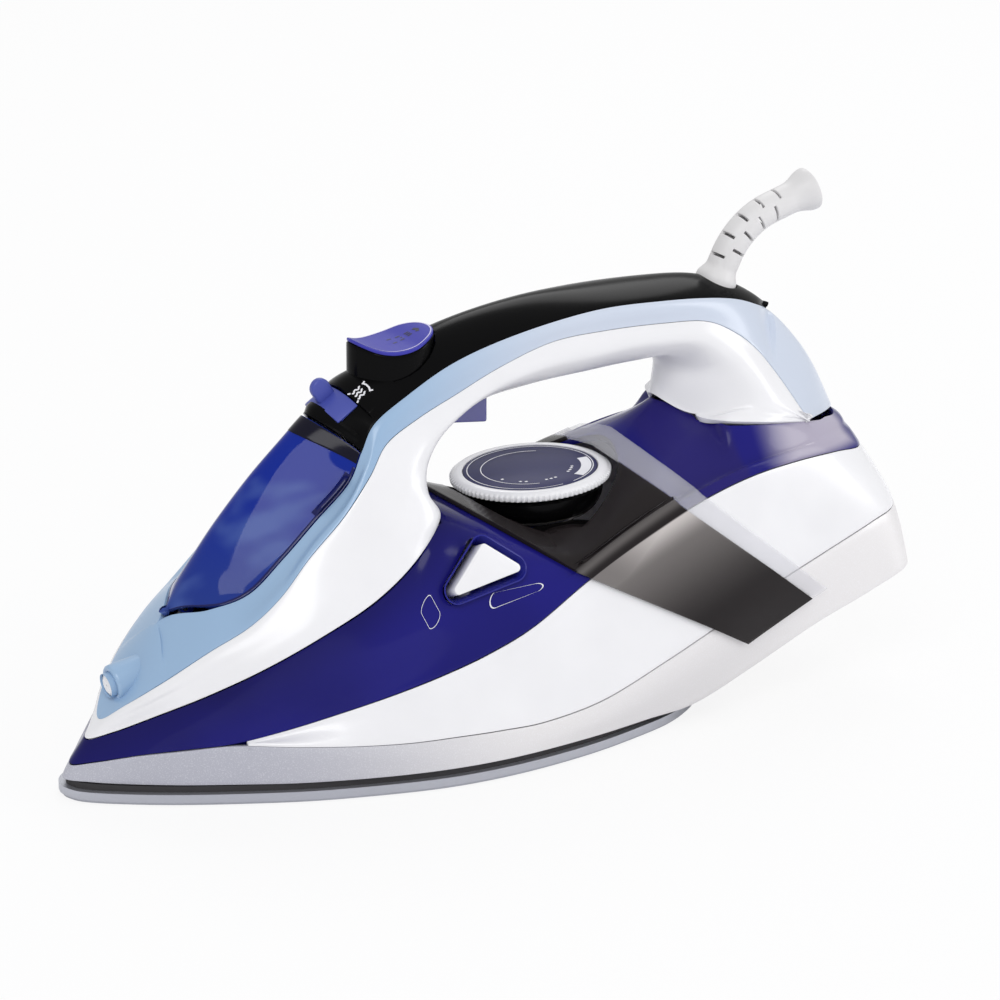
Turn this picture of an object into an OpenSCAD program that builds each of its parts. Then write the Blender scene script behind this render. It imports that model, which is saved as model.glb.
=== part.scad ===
// Steam iron, standing on its soleplate.
// Frame: X runs from the nose (-X) to the heel (+X), the button side is -Y, Z is up.
// The origin is the centre of the sole face.

/* [Overall] */
// Length from the nose to the back of the heel
body_len = 320; // [310:1:335]
// Greatest width of the skirt
body_w = 118; // [112:1:124]
// Height of the handle's top above the board
body_h = 149.6; // [146:0.5:154]
// Wall of the moulded shells
shell_t = 2.0; // [1.6:0.1:2.4]

/* [Soleplate] */
// Length of the soleplate
sole_len = 238; // [232:1:242]
// Thickness of the soleplate
sole_t = 4; // [3.5:0.1:5]
// Height of the dark gasket ring
gasket_t = 2.5; // [2:0.1:3]
// Diameter of a steam vent
vent_d = 2.4; // [1.5:0.1:3]
// Height of the heater casting
casting_t = 11; // [10:0.5:12]
// Diameter of the sheathed heating element
element_d = 6.5; // [5.5:0.1:7]
// Thickness of the steam chamber's cover
cover_t = 1.2; // [0.8:0.1:1.6]
// Thickness of the heat shield
shield_t = 2.5; // [2:0.1:3]
// Thickness of the tank floor
floor_t = 2; // [1.6:0.1:2.4]

/* [Dial] */
// Outer diameter of the temperature dial
dial_d = 56.5; // [52:0.5:58]
// Height of the dial ring
dial_h = 5; // [4.5:0.5:8]
// Diameter of the printed disc
disc_d = 47; // [44:0.5:48]
// Diameter of the thermostat shaft
shaft_d = 6; // [5:0.1:7]
// Forward lean of the dial's axis, in degrees
dial_tilt = 4; // [2:0.5:6]
// Number of ribs around the dial
rib_count = 90; // [60:1:110]

/* [Controls] */
// Length of the spray button
button_len = 31; // [29:0.5:32]
// Width of the spray button
button_w = 24.5; // [23:0.5:26]
// Travel of the spray button
button_travel = 4; // [3:0.5:4.5]
// Radius of the steam lever's band
lever_r = 19.5; // [19:0.1:20]
// Width of the steam lever's band
lever_w = 9; // [8:0.5:10]
// Swing of the steam lever to each side, in degrees
lever_swing = 13; // [9:1:14]
// Width of the steam trigger
trigger_w = 12; // [10:0.5:13]
// Swing of the steam trigger, in degrees
trigger_swing = 8; // [5:1:9]
// Diameter of the hinge pins
pin_d = 2.5; // [2:0.1:3]
// Running clearance around a pin, on the diameter
pin_gap = 0.12; // [0.06:0.01:0.18]
// Side of the self-clean button
clean_side = 27; // [24:0.5:29]
// Travel of the self-clean button
clean_travel = 3; // [2:0.5:3]

/* [Cord sleeve] */
// Outer diameter of the sleeve
sleeve_d = 10.5; // [10:0.1:12]
// Diameter of the sleeve's flared mouth
mouth_d = 16.5; // [14:0.5:18]
// Bore for the mains cord
cord_d = 7; // [6:0.1:8]
// Radius of the sleeve's bend
bend_r = 30; // [26:1:34]

/* [Hidden] */
$fn = 64;

// ---------------------------------------------------------------- styling lines
// Each line runs from the nose to the heel over shared stations. A point is
// [distance behind the nose, half width, height] on an iron of the nominal size.
nominal_len = 320;
nominal_w = 118;
nominal_h = 149.6;
nominal_skirt = 6.5;

nose_x = -sole_len / 2;
skirt_z = sole_t + gasket_t;
kx = body_len / nominal_len;
ky = body_w / nominal_w;
kz = (body_h - skirt_z) / (nominal_h - nominal_skirt);

function px(l) = nose_x + kx * l;
// places that keep their share of the soleplate's length
function sx(l) = nose_x + l * sole_len / nominal_sole;
function pz(z) = skirt_z + kz * (z - nominal_skirt);
function placed(p) = [px(p[0]), -ky * p[1], pz(p[2])];
function placed_line(l) = [for (p = l) placed(p)];

// lower edge of the skirt
line_a = placed_line([[1, 0, 6.5], [8, 8.5, 6.5], [19, 17, 6.5], [33, 26, 6.5], [48, 34, 6.5],
  [66, 43, 6.5], [85, 50, 6.5], [103, 55, 6.5], [120, 58, 6.5], [137, 59, 6.5], [155, 58, 6.5],
  [178, 55, 6.5], [200, 50.5, 6.5], [222, 46.5, 7], [246, 45, 15.2], [273, 45, 26.8],
  [298, 44, 35], [315, 41, 41], [319.3, 24, 43.3], [320, 0, 43.8]]);
// seam between the skirt and the side panels
line_b = placed_line([[3.5, 0, 11], [9, 7.5, 13], [20, 18.5, 16.8], [34, 27, 18.8], [48, 33.5, 20],
  [66, 43, 19.3], [85, 50.5, 18.4], [103, 55, 17.6], [120, 57, 17.2], [137, 57.7, 16.6],
  [155, 57.5, 16.4], [178, 56.5, 19.5], [203, 54.5, 27.5], [228, 52, 36.5], [252, 48.5, 45.5],
  [276, 44.5, 52.5], [299, 40.5, 59], [312.5, 34.5, 61.5], [319, 20, 63.5], [320, 0, 64]]);
// lower edge of the tank
line_c = placed_line([[3.7, 0, 11.4], [9.3, 7.6, 13.4], [20.4, 18.6, 17.2], [34.4, 27, 19.3],
  [48.5, 33.3, 20.7], [66, 38.5, 24], [85, 44.5, 29], [103, 47.5, 33], [120, 49, 37],
  [137, 49.3, 41.5], [155, 48.5, 47.8], [178, 46, 59.5], [200, 45, 70], [225, 43.5, 79.5],
  [247, 41, 84.3], [268, 38, 85.8], [288, 33.5, 85.2], [302, 27, 83.2], [309.5, 14, 83], [312, 0, 83]]);
// fullest line of the tank
line_n = placed_line([[6.5, 0, 15], [12.5, 7.8, 17.7], [24, 19.5, 23], [37.5, 29, 28], [53, 37, 33],
  [71, 42, 39.5], [91, 45.5, 47], [109, 46, 54], [126, 43.5, 61], [142, 42, 65], [159, 43.5, 61.5],
  [180, 42.5, 65], [203, 41, 75.5], [231, 36, 83.5],
  [248, 36.5, 88], [266, 34.7, 90], [285, 30, 90.8],
  [299, 22, 88.5], [306.5, 12, 87.7], [309.5, 0, 87.5]]);
// upper edge of the tank, and its shoulder under the deck cover
line_d = placed_line([[9.4, 0, 18.9], [16, 8, 22.4], [28, 19, 29.8], [41, 29, 37.3], [57.5, 37.5, 46],
  [76, 42, 55], [97, 42.5, 64.3], [115, 38.5, 74.5], [130, 28.7, 83.3], [145, 28, 79],
  [161, 33, 71.3], [181, 34, 69], [204, 31, 82.5], [241, 15, 99], [247, 26.5, 99.2], [263, 30, 98.2],
  [281, 26, 95.5], [297, 18.5, 92.5], [304, 10, 91.5], [307, 0, 91]]);
// middle of the deck, from the front column to the rear column
line_e = placed_line([[133.5, 0, 85.4], [146, 0, 83], [162, 0, 80], [182, 0, 80.5], [204, 0, 89],
  [232.4, 0, 104.3]]);
deck_from = 8;
deck_to = 13;

// handle lines, from the nose over the grip to the foot of the rear column
// crest of the filler door and of the top cover
line_t = placed_line([[13, 0, 24], [24, 0, 37], [37.5, 0, 55.6], [46, 0, 67.8], [54, 0, 78.8],
  [62, 0, 88.4], [73, 0, 100.2], [83.5, 0, 110], [94, 0, 118.8], [105, 0, 126.3], [120, 0, 134.6],
  [137, 0, 141], [157, 0, 146], [180, 0, 149], [203, 0, 149.6], [226, 0, 149.4], [246, 0, 148],
  [261, 0, 143.8], [272, 0, 138], [280.5, 0, 130.5]]);
// upper edge of the trim
line_u = placed_line([[14.5, 0, 25.5], [24, 0, 37], [37.5, 0, 55.6], [49, 14, 61.8], [61.5, 19.5, 66.8],
  [73.7, 21, 77.5], [86.3, 21, 88.8], [99, 20.3, 99.5], [104.5, 19.5, 109.5], [110, 18.8, 118.5],
  [123.5, 17, 125.8], [140, 15.7, 133.3], [158, 15, 138.4], [180.6, 15, 142.6], [203, 15, 144.8],
  [226, 15, 144.2], [244, 14, 142.6], [258, 12.2, 140], [270, 8, 135.4], [280.5, 0, 129.9],
  [290.5, 0, 120], [298.5, 0, 109], [307, 0, 92.5]]);
// seam between the trim and the white shell
line_f = placed_line([[14.5, 0, 25.2], [20.5, 9.5, 32.2], [31, 18, 41.3], [44, 24.5, 51], [57, 29, 59],
  [68, 30.5, 68], [79, 30, 79.5], [93, 28.3, 91], [104.5, 25.5, 102.5], [113, 22, 111.8], [127, 19.2, 118],
  [142, 17.7, 123.5], [160, 17, 130.5], [181, 16.5, 136.2], [203, 16.5, 137.2], [225, 16.5, 136.6],
  [243, 17, 135], [255, 18, 129.3], [263, 19.5, 122.5], [269, 21.3, 114.8], [274.5, 23.3, 106.5],
  [278.5, 25, 100], [281.5, 26, 95.9]]);
// fullest line of the white shell
line_m = placed_line([[12, 0, 22], [18.5, 9.5, 27.5], [30, 19.5, 36], [43, 28, 44.3], [58, 34.5, 53],
  [73, 38, 62], [89.5, 38, 72.5], [105, 35, 83.5], [117, 30, 93.5], [121, 26.5, 101.5], [130, 22, 109],
  [141, 19.5, 115.5], [156.5, 18, 122.5], [178.5, 17.3, 127.5], [201.5, 17.3, 129], [220, 17.5, 130],
  [239, 19, 128.5], [249.5, 21.5, 122], [255, 24.5, 115], [258, 27, 108.5], [263, 28.8, 104.3],
  [272, 28.4, 99.8], [281.4, 26.2, 95.8]]);
// inner edge of the white shell: the tank seam, then round the finger gap
line_r = placed_line([[9.6, 0, 19.3], [16.2, 7.9, 22.8], [28.2, 18.8, 30.2], [41.2, 28.8, 37.7],
  [57.6, 37.2, 46.4], [76, 41.7, 55.4], [96.8, 42.2, 64.8], [114.7, 38.3, 75], [129.6, 28.8, 85],
  [128, 23.5, 92], [128.5, 19.5, 100], [136, 15, 109.6], [151, 12, 117.3], [175.5, 11, 120.8],
  [200, 11, 122.3], [216, 11.5, 123.2], [232.5, 12, 123], [240.5, 13.3, 118], [241.5, 14, 110],
  [241.3, 15, 101.2], [247, 26.3, 101.5], [261, 30.8, 100], [281.3, 26.1, 95.8]]);
// middle of the wall that faces the finger gap
line_k = placed_line([[133.5, 0, 87], [130.6, 0, 92], [130.6, 0, 99], [137.5, 0, 108], [152, 0, 115.6],
  [176, 0, 119], [200, 0, 120.5], [216, 0, 121.8], [230, 0, 121.5], [233.8, 0, 117.5],
  [233.2, 0, 111], [231.8, 0, 106.3]]);
gap_from = 8;
gap_to = 19;
door_from = 2;
door_to = 8;
trim_to = 22;

// ---------------------------------------------------------------- curve tools
function lerp(a, b, t) = a + (b - a) * t;
function smooth(t) = let(s = max(0, min(1, t))) s * s * (3 - 2 * s);
function spline4(a, b, c, d, t) =
  b + 0.5 * t * (c - a + t * (2 * a - 5 * b + 4 * c - d + t * (3 * (b - c) + d - a)));
// a point before the first or after the last one, so that a line runs straight out of its end
function node_at(l, i) = i < 0 ? 2 * l[0] - l[1]
  : i >= len(l) ? 2 * l[len(l) - 1] - l[len(l) - 2] : l[i];
function along(l, u) = let(i = max(0, min(len(l) - 2, floor(u))))
  spline4(node_at(l, i - 1), l[i], l[i + 1], node_at(l, i + 2), u - i);
function flip(p) = [p[0], -p[1], p[2]];
function unit(v) = v / max(norm(v), 1e-9);

// Surface over five lines of the body: v runs 0 skirt edge, 1 seam, 2 tank edge,
// 3 full line, 4 shoulder, 5 middle of the deck.
function deck_point(u) = let(e = along(line_e, max(0, min(deck_to - deck_from, u - deck_from))))
  e;
function above_d(u) = let(front = smooth(u - deck_from + 1), rear = smooth(deck_to + 1 - u), d = along(line_d, u),
    behind = lerp(along(line_m, min(trim_to, u + 6)), [d[0] - 12 * kx, 0.6 * d[1], d[2] + 5 * kz], smooth(u - 15)))
  lerp(u < 10.5 ? along(line_m, u) : behind, deck_point(u), min(front, rear));
function body_lines(u) = [along(line_a, u) + [0, 0, -8], along(line_a, u), along(line_b, u),
  along(line_c, u), along(line_n, u), along(line_d, u), above_d(u), flip(along(line_d, u))];
function across(ls, v) = let(i = max(0, min(len(ls) - 4, floor(v))))
  spline4(ls[i], ls[i + 1], ls[i + 2], ls[i + 3], v - i);
function body(u, v) = across(body_lines(u), v);

// Surface over the handle: v runs 0 crest, 1 trim edge, 2 trim seam, 3 full line,
// 4 inner edge, 5 middle of the wall at the finger gap, then the mirrored side.
function under_r(u) = let(front = smooth(u - gap_from + 1), rear = smooth(gap_to + 1 - u),
    tank = u < 13 ? along(line_n, u) : along(line_n, min(19, max(13, u - 6))))
  lerp(tank, along(line_k, max(0, min(gap_to - gap_from, u - gap_from))), min(front, rear));
function trim_edge(u) = let(p = along(line_u, u)) u <= door_from || u >= gap_to ? [p[0], 0, p[2]] : p;
function crest(u) = u < door_from ? flip(along(line_f, u))
  : u > gap_to ? flip(along(line_f, u)) : along(line_t, u);
function handle_lines(u) = [flip(trim_edge(u)), crest(u), trim_edge(u), along(line_f, u),
  along(line_m, u), along(line_r, u), under_r(u), flip(along(line_r, u)), flip(along(line_m, u))];
function handle(u, v) = across(handle_lines(u), v);

// ---------------------------------------------------------------- shells
// A patch is a grid of outer points and a grid of inner points. Points on the
// middle plane stay on it, so that both halves of a shell meet there.
step = 0.02;
function on_middle(p, q) = abs(p[1]) < 0.005 ? [q[0], 0, q[2]] : q;
function body_at(u, v, out) = let(p = body(u, v), n = unit(cross(body(u + step, v) - body(u - step, v),
  body(u, v + step) - body(u, v - step)))) on_middle(p, p + out * n);
function handle_at(u, v, out) = let(p = handle(u, v), n = unit(cross(handle(u, v + step) - handle(u, v - step),
  handle(u + step, v) - handle(u - step, v)))) on_middle(p, p + out * n);
// The columns of every patch run downwards on the -Y side.
function patch_body(us, vf, outer, inner) = [for (out = [outer, inner]) [for (u = us) [for (v = vf(u))
  body_at(u, v, out)]]];
function patch_handle(us, vf, outer, inner) = [for (out = [outer, inner]) [for (u = us) [for (v = vf(u))
  handle_at(u, v, out)]]];
function flip_patch(g) = [for (side = g) [for (row = side) [for (i = [len(row) - 1:-1:0]) flip(row[i])]]];
function spread(a, b, n) = [for (i = [0:n]) lerp(a, b, i / n)];

// walls: which of the four edges gets a wall, [first row, last row, first column, last column]
function grid_faces(g, walls, first) =
  let(nu = len(g[0]), nv = len(g[0][0]), inner = first + nu * nv,
    o = function(i, k) first + i * nv + k, n = function(i, k) inner + i * nv + k,
    quad = function(a, b, c, d) [[a, b, c], [a, c, d]])
  concat(
    [for (i = [0:nu - 2]) for (k = [0:nv - 2])
      for (f = quad(o(i, k), o(i + 1, k), o(i + 1, k + 1), o(i, k + 1))) f],
    [for (i = [0:nu - 2]) for (k = [0:nv - 2])
      for (f = quad(n(i, k), n(i, k + 1), n(i + 1, k + 1), n(i + 1, k))) f],
    [if (walls[0]) for (k = [0:nv - 2]) for (f = quad(o(0, k), o(0, k + 1), n(0, k + 1), n(0, k))) f],
    [if (walls[1]) for (k = [0:nv - 2])
      for (f = quad(o(nu - 1, k + 1), o(nu - 1, k), n(nu - 1, k), n(nu - 1, k + 1))) f],
    [for (i = [0:nu - 2]) if (walls[2] && walls[2][i] != false)
      for (f = quad(o(i + 1, 0), o(i, 0), n(i, 0), n(i + 1, 0))) f],
    [for (i = [0:nu - 2]) if (walls[3] && walls[3][i] != false)
      for (f = quad(o(i, nv - 1), o(i + 1, nv - 1), n(i + 1, nv - 1), n(i, nv - 1))) f]);
function flat(g) = [for (side = g) for (row = side) for (p = row) p];
function offsets(ps, i = 0, at = 0) = i == len(ps) ? []
  : concat([at], offsets(ps, i + 1, at + len(flat(ps[i][0]))));
module shells(patches) {
  starts = offsets(patches);
  polyhedron(
    points = [for (p = patches) for (q = flat(p[0])) q],
    faces = [for (i = [0:len(patches) - 1]) for (f = grid_faces(patches[i][0], patches[i][1], starts[i])) f],
    convexity = 8);
}

// ---------------------------------------------------------------- flat outlines
// half outline of the soleplate, from the nose to the heel end
sole_edge = [[0, 0], [3.3, 8], [13.8, 16.8], [30.7, 27.5], [51.4, 38], [72.8, 47.2], [99, 55], [118, 58.8],
  [137, 59.8], [156, 58.6], [177, 55.3], [197, 50], [213, 44.4], [226, 36.5], [233, 28], [237, 14], [238, 0]];
nominal_sole = 238;
function sole_point(u) = let(p = along(sole_edge, u)) [nose_x + p[0] * sole_len / nominal_sole, ky * p[1]];
// half outline moved inwards by gap, kept between two places along X
function sole_half(gap, from, to) = [for (i = [0:96]) let(u = i * 16 / 96, p = sole_point(u),
  d = unit(sole_point(u + 0.02) - sole_point(u - 0.02)), q = p - gap * [-d[1], d[0]])
  if (q[1] > 0.5 && q[0] > from && q[0] < to) q];
function both_halves(h) = concat([for (i = [len(h) - 1:-1:0]) [h[i][0], -h[i][1]]], h);
module outline(gap, from = -1e3, to = 1e3) polygon(both_halves(sole_half(gap, from, to)));
module plate(gap, z0, t, from = -1e3, to = 1e3)
  translate([0, 0, z0]) linear_extrude(t) outline(gap, from, to);

// ---------------------------------------------------------------- heights inside
casting_z = sole_t;
casting_top = casting_z + casting_t - 2;
cover_top = casting_top + cover_t;
shield_z = skirt_z + 9.5;
floor_z = shield_z + shield_t;
floor_top = floor_z + floor_t;
shield_gap = shell_t + 3.8;
floor_gap = shield_gap + 0.6;
casting_gap = 14;
shield_front = px(28);
shield_back = px(226);
pin_r = pin_d / 2;
pin_hole = pin_r + pin_gap / 2;
side_play = 0.35;

// ---------------------------------------------------------------- sole and heater
vent_pitch = 13;
module soleplate() {
  color([0.78, 0.79, 0.82]) difference() {
    union() {
      plate(1.2, 0, 1.2);
      plate(0, 1.2, sole_t - 1.2);
    }
    for (i = [0:9]) for (side = [-1, 1])
      translate([sx(34 + i * vent_pitch), side * (4 + i * 3.9), -1]) cylinder(d = vent_d, h = sole_t + 2);
    for (i = [0:5]) for (side = [-1, 1])
      translate([sx(24 + i * vent_pitch), side * 2.6 * (i % 2), -1]) cylinder(d = vent_d, h = sole_t + 2);
  }
}

element_x0 = sx(72);
element_x1 = sx(206);
element_y = 30;
element_z = casting_top - 1;
module element_path(r) {
  translate([element_x0 + element_y, 0, element_z]) rotate([0, 0, 90])
    rotate_extrude(angle = 180) translate([element_y, 0]) circle(r);
  for (side = [-1, 1]) translate([element_x0 + element_y, side * element_y, element_z])
    rotate([0, 90, 0]) cylinder(r = r, h = element_x1 - element_x0 - element_y);
}
pillars = [[sx(44), 0], [sx(184), -38], [sx(184), 38]];
pillar_d = 9;
chamber_w = 38;
module heater_casting() {
  color([0.66, 0.66, 0.68]) difference() {
    union() {
      plate(casting_gap, casting_z, casting_top - casting_z, sx(20), sx(192));
      for (p = pillars) translate([p[0], p[1], casting_z]) cylinder(d = pillar_d, h = shield_z - casting_z);
    }
    element_path(element_d / 2 + side_play);
    translate([sx(112), -chamber_w / 2, casting_z + 2.5]) cube([60, chamber_w, casting_t]);
    for (x = [sx(106), sx(178)]) for (y = [-12, 12]) translate([x, y, casting_top - 5]) cylinder(d = 3, h = 6);
  }
}
module heating_element() {
  color([0.45, 0.44, 0.42]) {
    element_path(element_d / 2);
    for (side = [-1, 1]) translate([element_x1 - 1, side * element_y, element_z])
      rotate([0, 90, 0]) cylinder(d = 3, h = 14);
  }
}
module chamber_cover() {
  color([0.72, 0.72, 0.74]) difference() {
    translate([sx(101), -chamber_w / 2 + 3, casting_top]) cube([82, chamber_w - 6, cover_t]);
    for (x = [sx(106), sx(178)]) for (y = [-12, 12])
      translate([x, y, casting_top - 1]) cylinder(d = 3.4, h = 4);
    translate([valve_x, 0, casting_top - 1]) cylinder(d = 5, h = 4);
  }
}
module chamber_screws() {
  color([0.7, 0.7, 0.7]) for (x = [sx(106), sx(178)]) for (y = [-12, 12]) {
    translate([x, y, casting_top - 4.5]) cylinder(d = 2.9, h = cover_t + 4.5);
    translate([x, y, cover_top]) cylinder(d = 5.4, h = 1.6);
  }
}
lip = 0.35;
module sole_gasket() {
  color([0.2, 0.2, 0.2]) difference() {
    plate(2.4, sole_t, gasket_t - lip);
    plate(9, sole_t - 1, gasket_t + 2);
  }
}
valve_x = sx(112);

// ---------------------------------------------------------------- lower shells
module base_skirt() {
  us = spread(0, 19, 57);
  side = patch_body(us, function(u) spread(0.965, 0, 3), 0, -shell_t);
  color([0.74, 0.74, 0.78]) shells([[side, [false, false, true, true]],
    [flip_patch(side), [false, false, true, true]]]);
}
module heel_plate() {
  us = spread(13.6, 18.2, 14);
  grid = [for (lift = [0, shell_t]) [for (u = us) [for (w = spread(-1, 1, 6))
    let(a = along(line_a, u), half = -a[1] - shell_t - 0.8)
    [a[0] - 3.2 * smooth((u - 15.5) / 2.5), half * w, a[2] + 1 + lift + 0.6 * (1 - w * w)]]]];
  color([0.85, 0.85, 0.86]) shells([[grid, [true, true, true, true]]]);
}
module heat_shield() {
  color([0.16, 0.15, 0.15]) difference() {
    plate(shield_gap, shield_z, shield_t, shield_front, shield_back);
    at_dial() translate([0, 0, -90]) cylinder(d = thermostat_d + 4, h = 60);
    translate([valve_x, 0, shield_z - 1]) cylinder(d = seat_d + 2 * side_play, h = shield_t + 2);
  }
}
panel_start = 4.25;
module side_panels() {
  us = spread(panel_start, 19, 44);
  side = patch_body(us, function(u) spread(1.975, 1.035, 4), 0, -shell_t);
  color([0.93, 0.93, 0.94]) shells([[side, [true, false, true, true]],
    [flip_patch(side), [true, false, true, true]]]);
}
module tank_cuts() {
  dial_pocket();
  clean_prism(clean_rim + 0.25, -12, 20);
}
// where the tank ends below the handle shell, on the way from its full line to its shoulder
tank_rim = 3.92;
module water_tank() {
  side = patch_body(spread(0, 19, 57), function(u) spread(tank_rim, 2.03, 6), 0, -shell_t);
  deck = patch_body(spread(deck_from, deck_to, 15), function(u) spread(5, tank_rim, 4), 0, -shell_t);
  on_deck = [for (i = [0:56]) !(i >= 24 && i < 39)];
  color([0.22, 0.22, 0.5]) difference() {
    shells([[side, [false, false, on_deck, true]], [flip_patch(side), [false, false, true, on_deck]],
      [deck, [true, true, false, false]], [flip_patch(deck), [true, true, false, false]]]);
    tank_cuts();
  }
}
shaft_len = 62;
well_d = 33;
// depths below the dial's face, along its axis
axis_low = 80;
well_top = shaft_len - 8;
chimney_d = 13;
module tank_floor() {
  color([0.3, 0.3, 0.55]) difference() {
    union() {
      plate(floor_gap, floor_z, floor_t, shield_front + 1, shield_back - 1);
      intersection() {
        at_dial() {
          translate([0, 0, -axis_low]) cylinder(d = well_d, h = axis_low - well_top);
          translate([0, 0, -well_top - 2]) cylinder(d = chimney_d, h = well_top - dial_h - 1);
        }
        translate([px(100), -60, floor_z]) cube([130, 120, 70]);
      }
    }
    at_dial() {
      translate([0, 0, -axis_low - 10]) cylinder(d = well_d - 4, h = axis_low + 8 - well_top);
      translate([0, 0, -well_top - 6]) cylinder(d = chimney_d - 4, h = well_top + 6 - dial_h);
    }
    translate([valve_x, 0, floor_z - 1]) cylinder(d = seat_d + 2 * side_play, h = floor_t + 2);
  }
}

// ---------------------------------------------------------------- deck cover
cover_t0 = 0.25;
cover_t1 = 1.6;
// The cover's edges are straight cuts: each is a plane through three points, and
// the front one has a bend.
cover_cells = 24;
cover_v = spread(5, 0.55, cover_cells);
function plane_of(l) = let(p = placed_line(l), n = cross(p[1] - p[0], p[2] - p[0])) [n[0] < 0 ? -n : n, p[0]];
function meets(plane, v, lo, hi, k = 16) = let(u = (lo + hi) / 2) k == 0 ? u
  : plane[0] * (body(u, v) - plane[1]) > 0 ? meets(plane, v, lo, u, k - 1) : meets(plane, v, u, hi, k - 1);
function cut_over(l) = let(plane = plane_of(l)) [for (v = cover_v) meets(plane, v, deck_from + 0.2, 17)];
front_high = cut_over([[142.7, 8.9, 83.5], [174, 44.5, 62.3], [119.4, 91.9, 98]]);
front_low = cut_over([[178.8, 45.9, 59.9], [243, 47.7, 25.6], [169.7, 110.1, 69.1]]);
cover_front = [for (i = [0:cover_cells]) max(front_high[i], front_low[i])];
cover_rear = cut_over([[205.7, 17.1, 89.8], [270.8, 45.5, 36.8], [196.2, 94.6, 88.3]]);
strip_rear = cut_over([[211.9, 15.1, 96], [277.2, 45, 39.2], [202.2, 93.2, 92.3]]);
function cover_patch(from, to, n) = [for (out = [cover_t1, cover_t0]) [for (a = spread(0, 1, n))
  [for (i = [0:cover_cells]) body_at(lerp(from[i], to[i], a), cover_v[i], out)]]];
module cover_half(from, to, n) {
  g = cover_patch(from, to, n);
  shells([[g, [true, true, false, true]], [flip_patch(g), [true, true, true, false]]]);
}
module deck_cover() {
  color([0.12, 0.11, 0.11]) difference() {
    cover_half(cover_front, cover_rear, 8);
    dial_pocket();
  }
}
module deck_edge_strip() {
  near_rear = [for (u = cover_rear) u + 0.012];
  color([0.75, 0.75, 0.8]) cover_half(near_rear, strip_rear, 2);
}

// ---------------------------------------------------------------- dial and thermostat
dial_x = px(182);
dial_z = pz(87);
cup_d = 44;
cup_drop = 13.5;
thermostat_d = 24;
module at_dial() translate([dial_x, 0, dial_z]) rotate([0, -dial_tilt, 0]) children();
module dial_pocket() at_dial() {
  translate([0, 0, -cup_drop - side_play]) cylinder(d = dial_d + 5, h = 40);
  translate([0, 0, -cup_drop - 8]) cylinder(d = cup_d + 2 * side_play, h = 40);
}
module dial_cup() {
  color([0.05, 0.05, 0.05]) at_dial() rotate_extrude()
    polygon([[cup_d / 2 - 9, -cup_drop - 2], [cup_d / 2 - 3, -cup_drop - 2], [cup_d / 2, -cup_drop],
      [cup_d / 2 + 2.2, -cup_drop + 2.4], [disc_d / 2 + 1.6, -dial_h - 0.4],
      [shaft_d / 2 + 1, -dial_h - 0.4], [shaft_d / 2 + 1, -dial_h - 2.4], [cup_d / 2 - 2, -dial_h - 2.4],
      [cup_d / 2 - 9, -cup_drop]]);
}
rib_out = 0.7;
rib_half = 0.4;
// outline of the ribbed rim: four corners for each rib
function rib_corners(r, a) = [for (c = [[r, -rib_half], [r + rib_out, -rib_half], [r + rib_out, rib_half], [r, rib_half]])
  [c[0] * cos(a) - c[1] * sin(a), c[0] * sin(a) + c[1] * cos(a)]];
module ribbed_rim(r) polygon([for (i = [0:rib_count - 1]) for (p = rib_corners(r, i * 360 / rib_count)) p]);
module dial_ring() {
  color([0.93, 0.93, 0.94]) at_dial() difference() {
    union() {
      translate([0, 0, -dial_h]) cylinder(d1 = dial_d - 10, d2 = dial_d - 2, h = 2.2);
      translate([0, 0, -dial_h + 2]) linear_extrude(dial_h - 3.2) ribbed_rim(dial_d / 2 - rib_out - 0.2);
      translate([0, 0, -1.4]) cylinder(d1 = dial_d - 2, d2 = dial_d - 3.8, h = 1.4);
    }
    translate([0, 0, -1.2]) cylinder(d = disc_d + 0.3, h = 2);
    translate([0, 0, -dial_h - 1]) cylinder(d = shaft_d, h = dial_h + 2);
  }
}
module dial_disc() {
  color([0.25, 0.26, 0.47]) at_dial() translate([0, 0, -1.2]) cylinder(d = disc_d, h = 0.9);
}
module thermostat_shaft() {
  color([0.6, 0.6, 0.6]) at_dial() translate([0, 0, -shaft_len]) cylinder(d = shaft_d, h = shaft_len - 1.2);
}
module thermostat() {
  color([0.75, 0.7, 0.6]) difference() {
    intersection() {
      at_dial() translate([0, 0, -axis_low]) cylinder(d = thermostat_d, h = axis_low - shaft_len + 3.5);
      translate([px(150), -20, cover_top]) cube([80, 40, 40]);
    }
    at_dial() translate([0, 0, -shaft_len - 1]) cylinder(d = shaft_d + pin_gap, h = 20);
  }
}
module thermal_fuse() {
  color([0.85, 0.82, 0.75]) translate([sx(128), chamber_w / 2 + 0.5, casting_top]) cube([22, 5, 2.4]);
}

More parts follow.
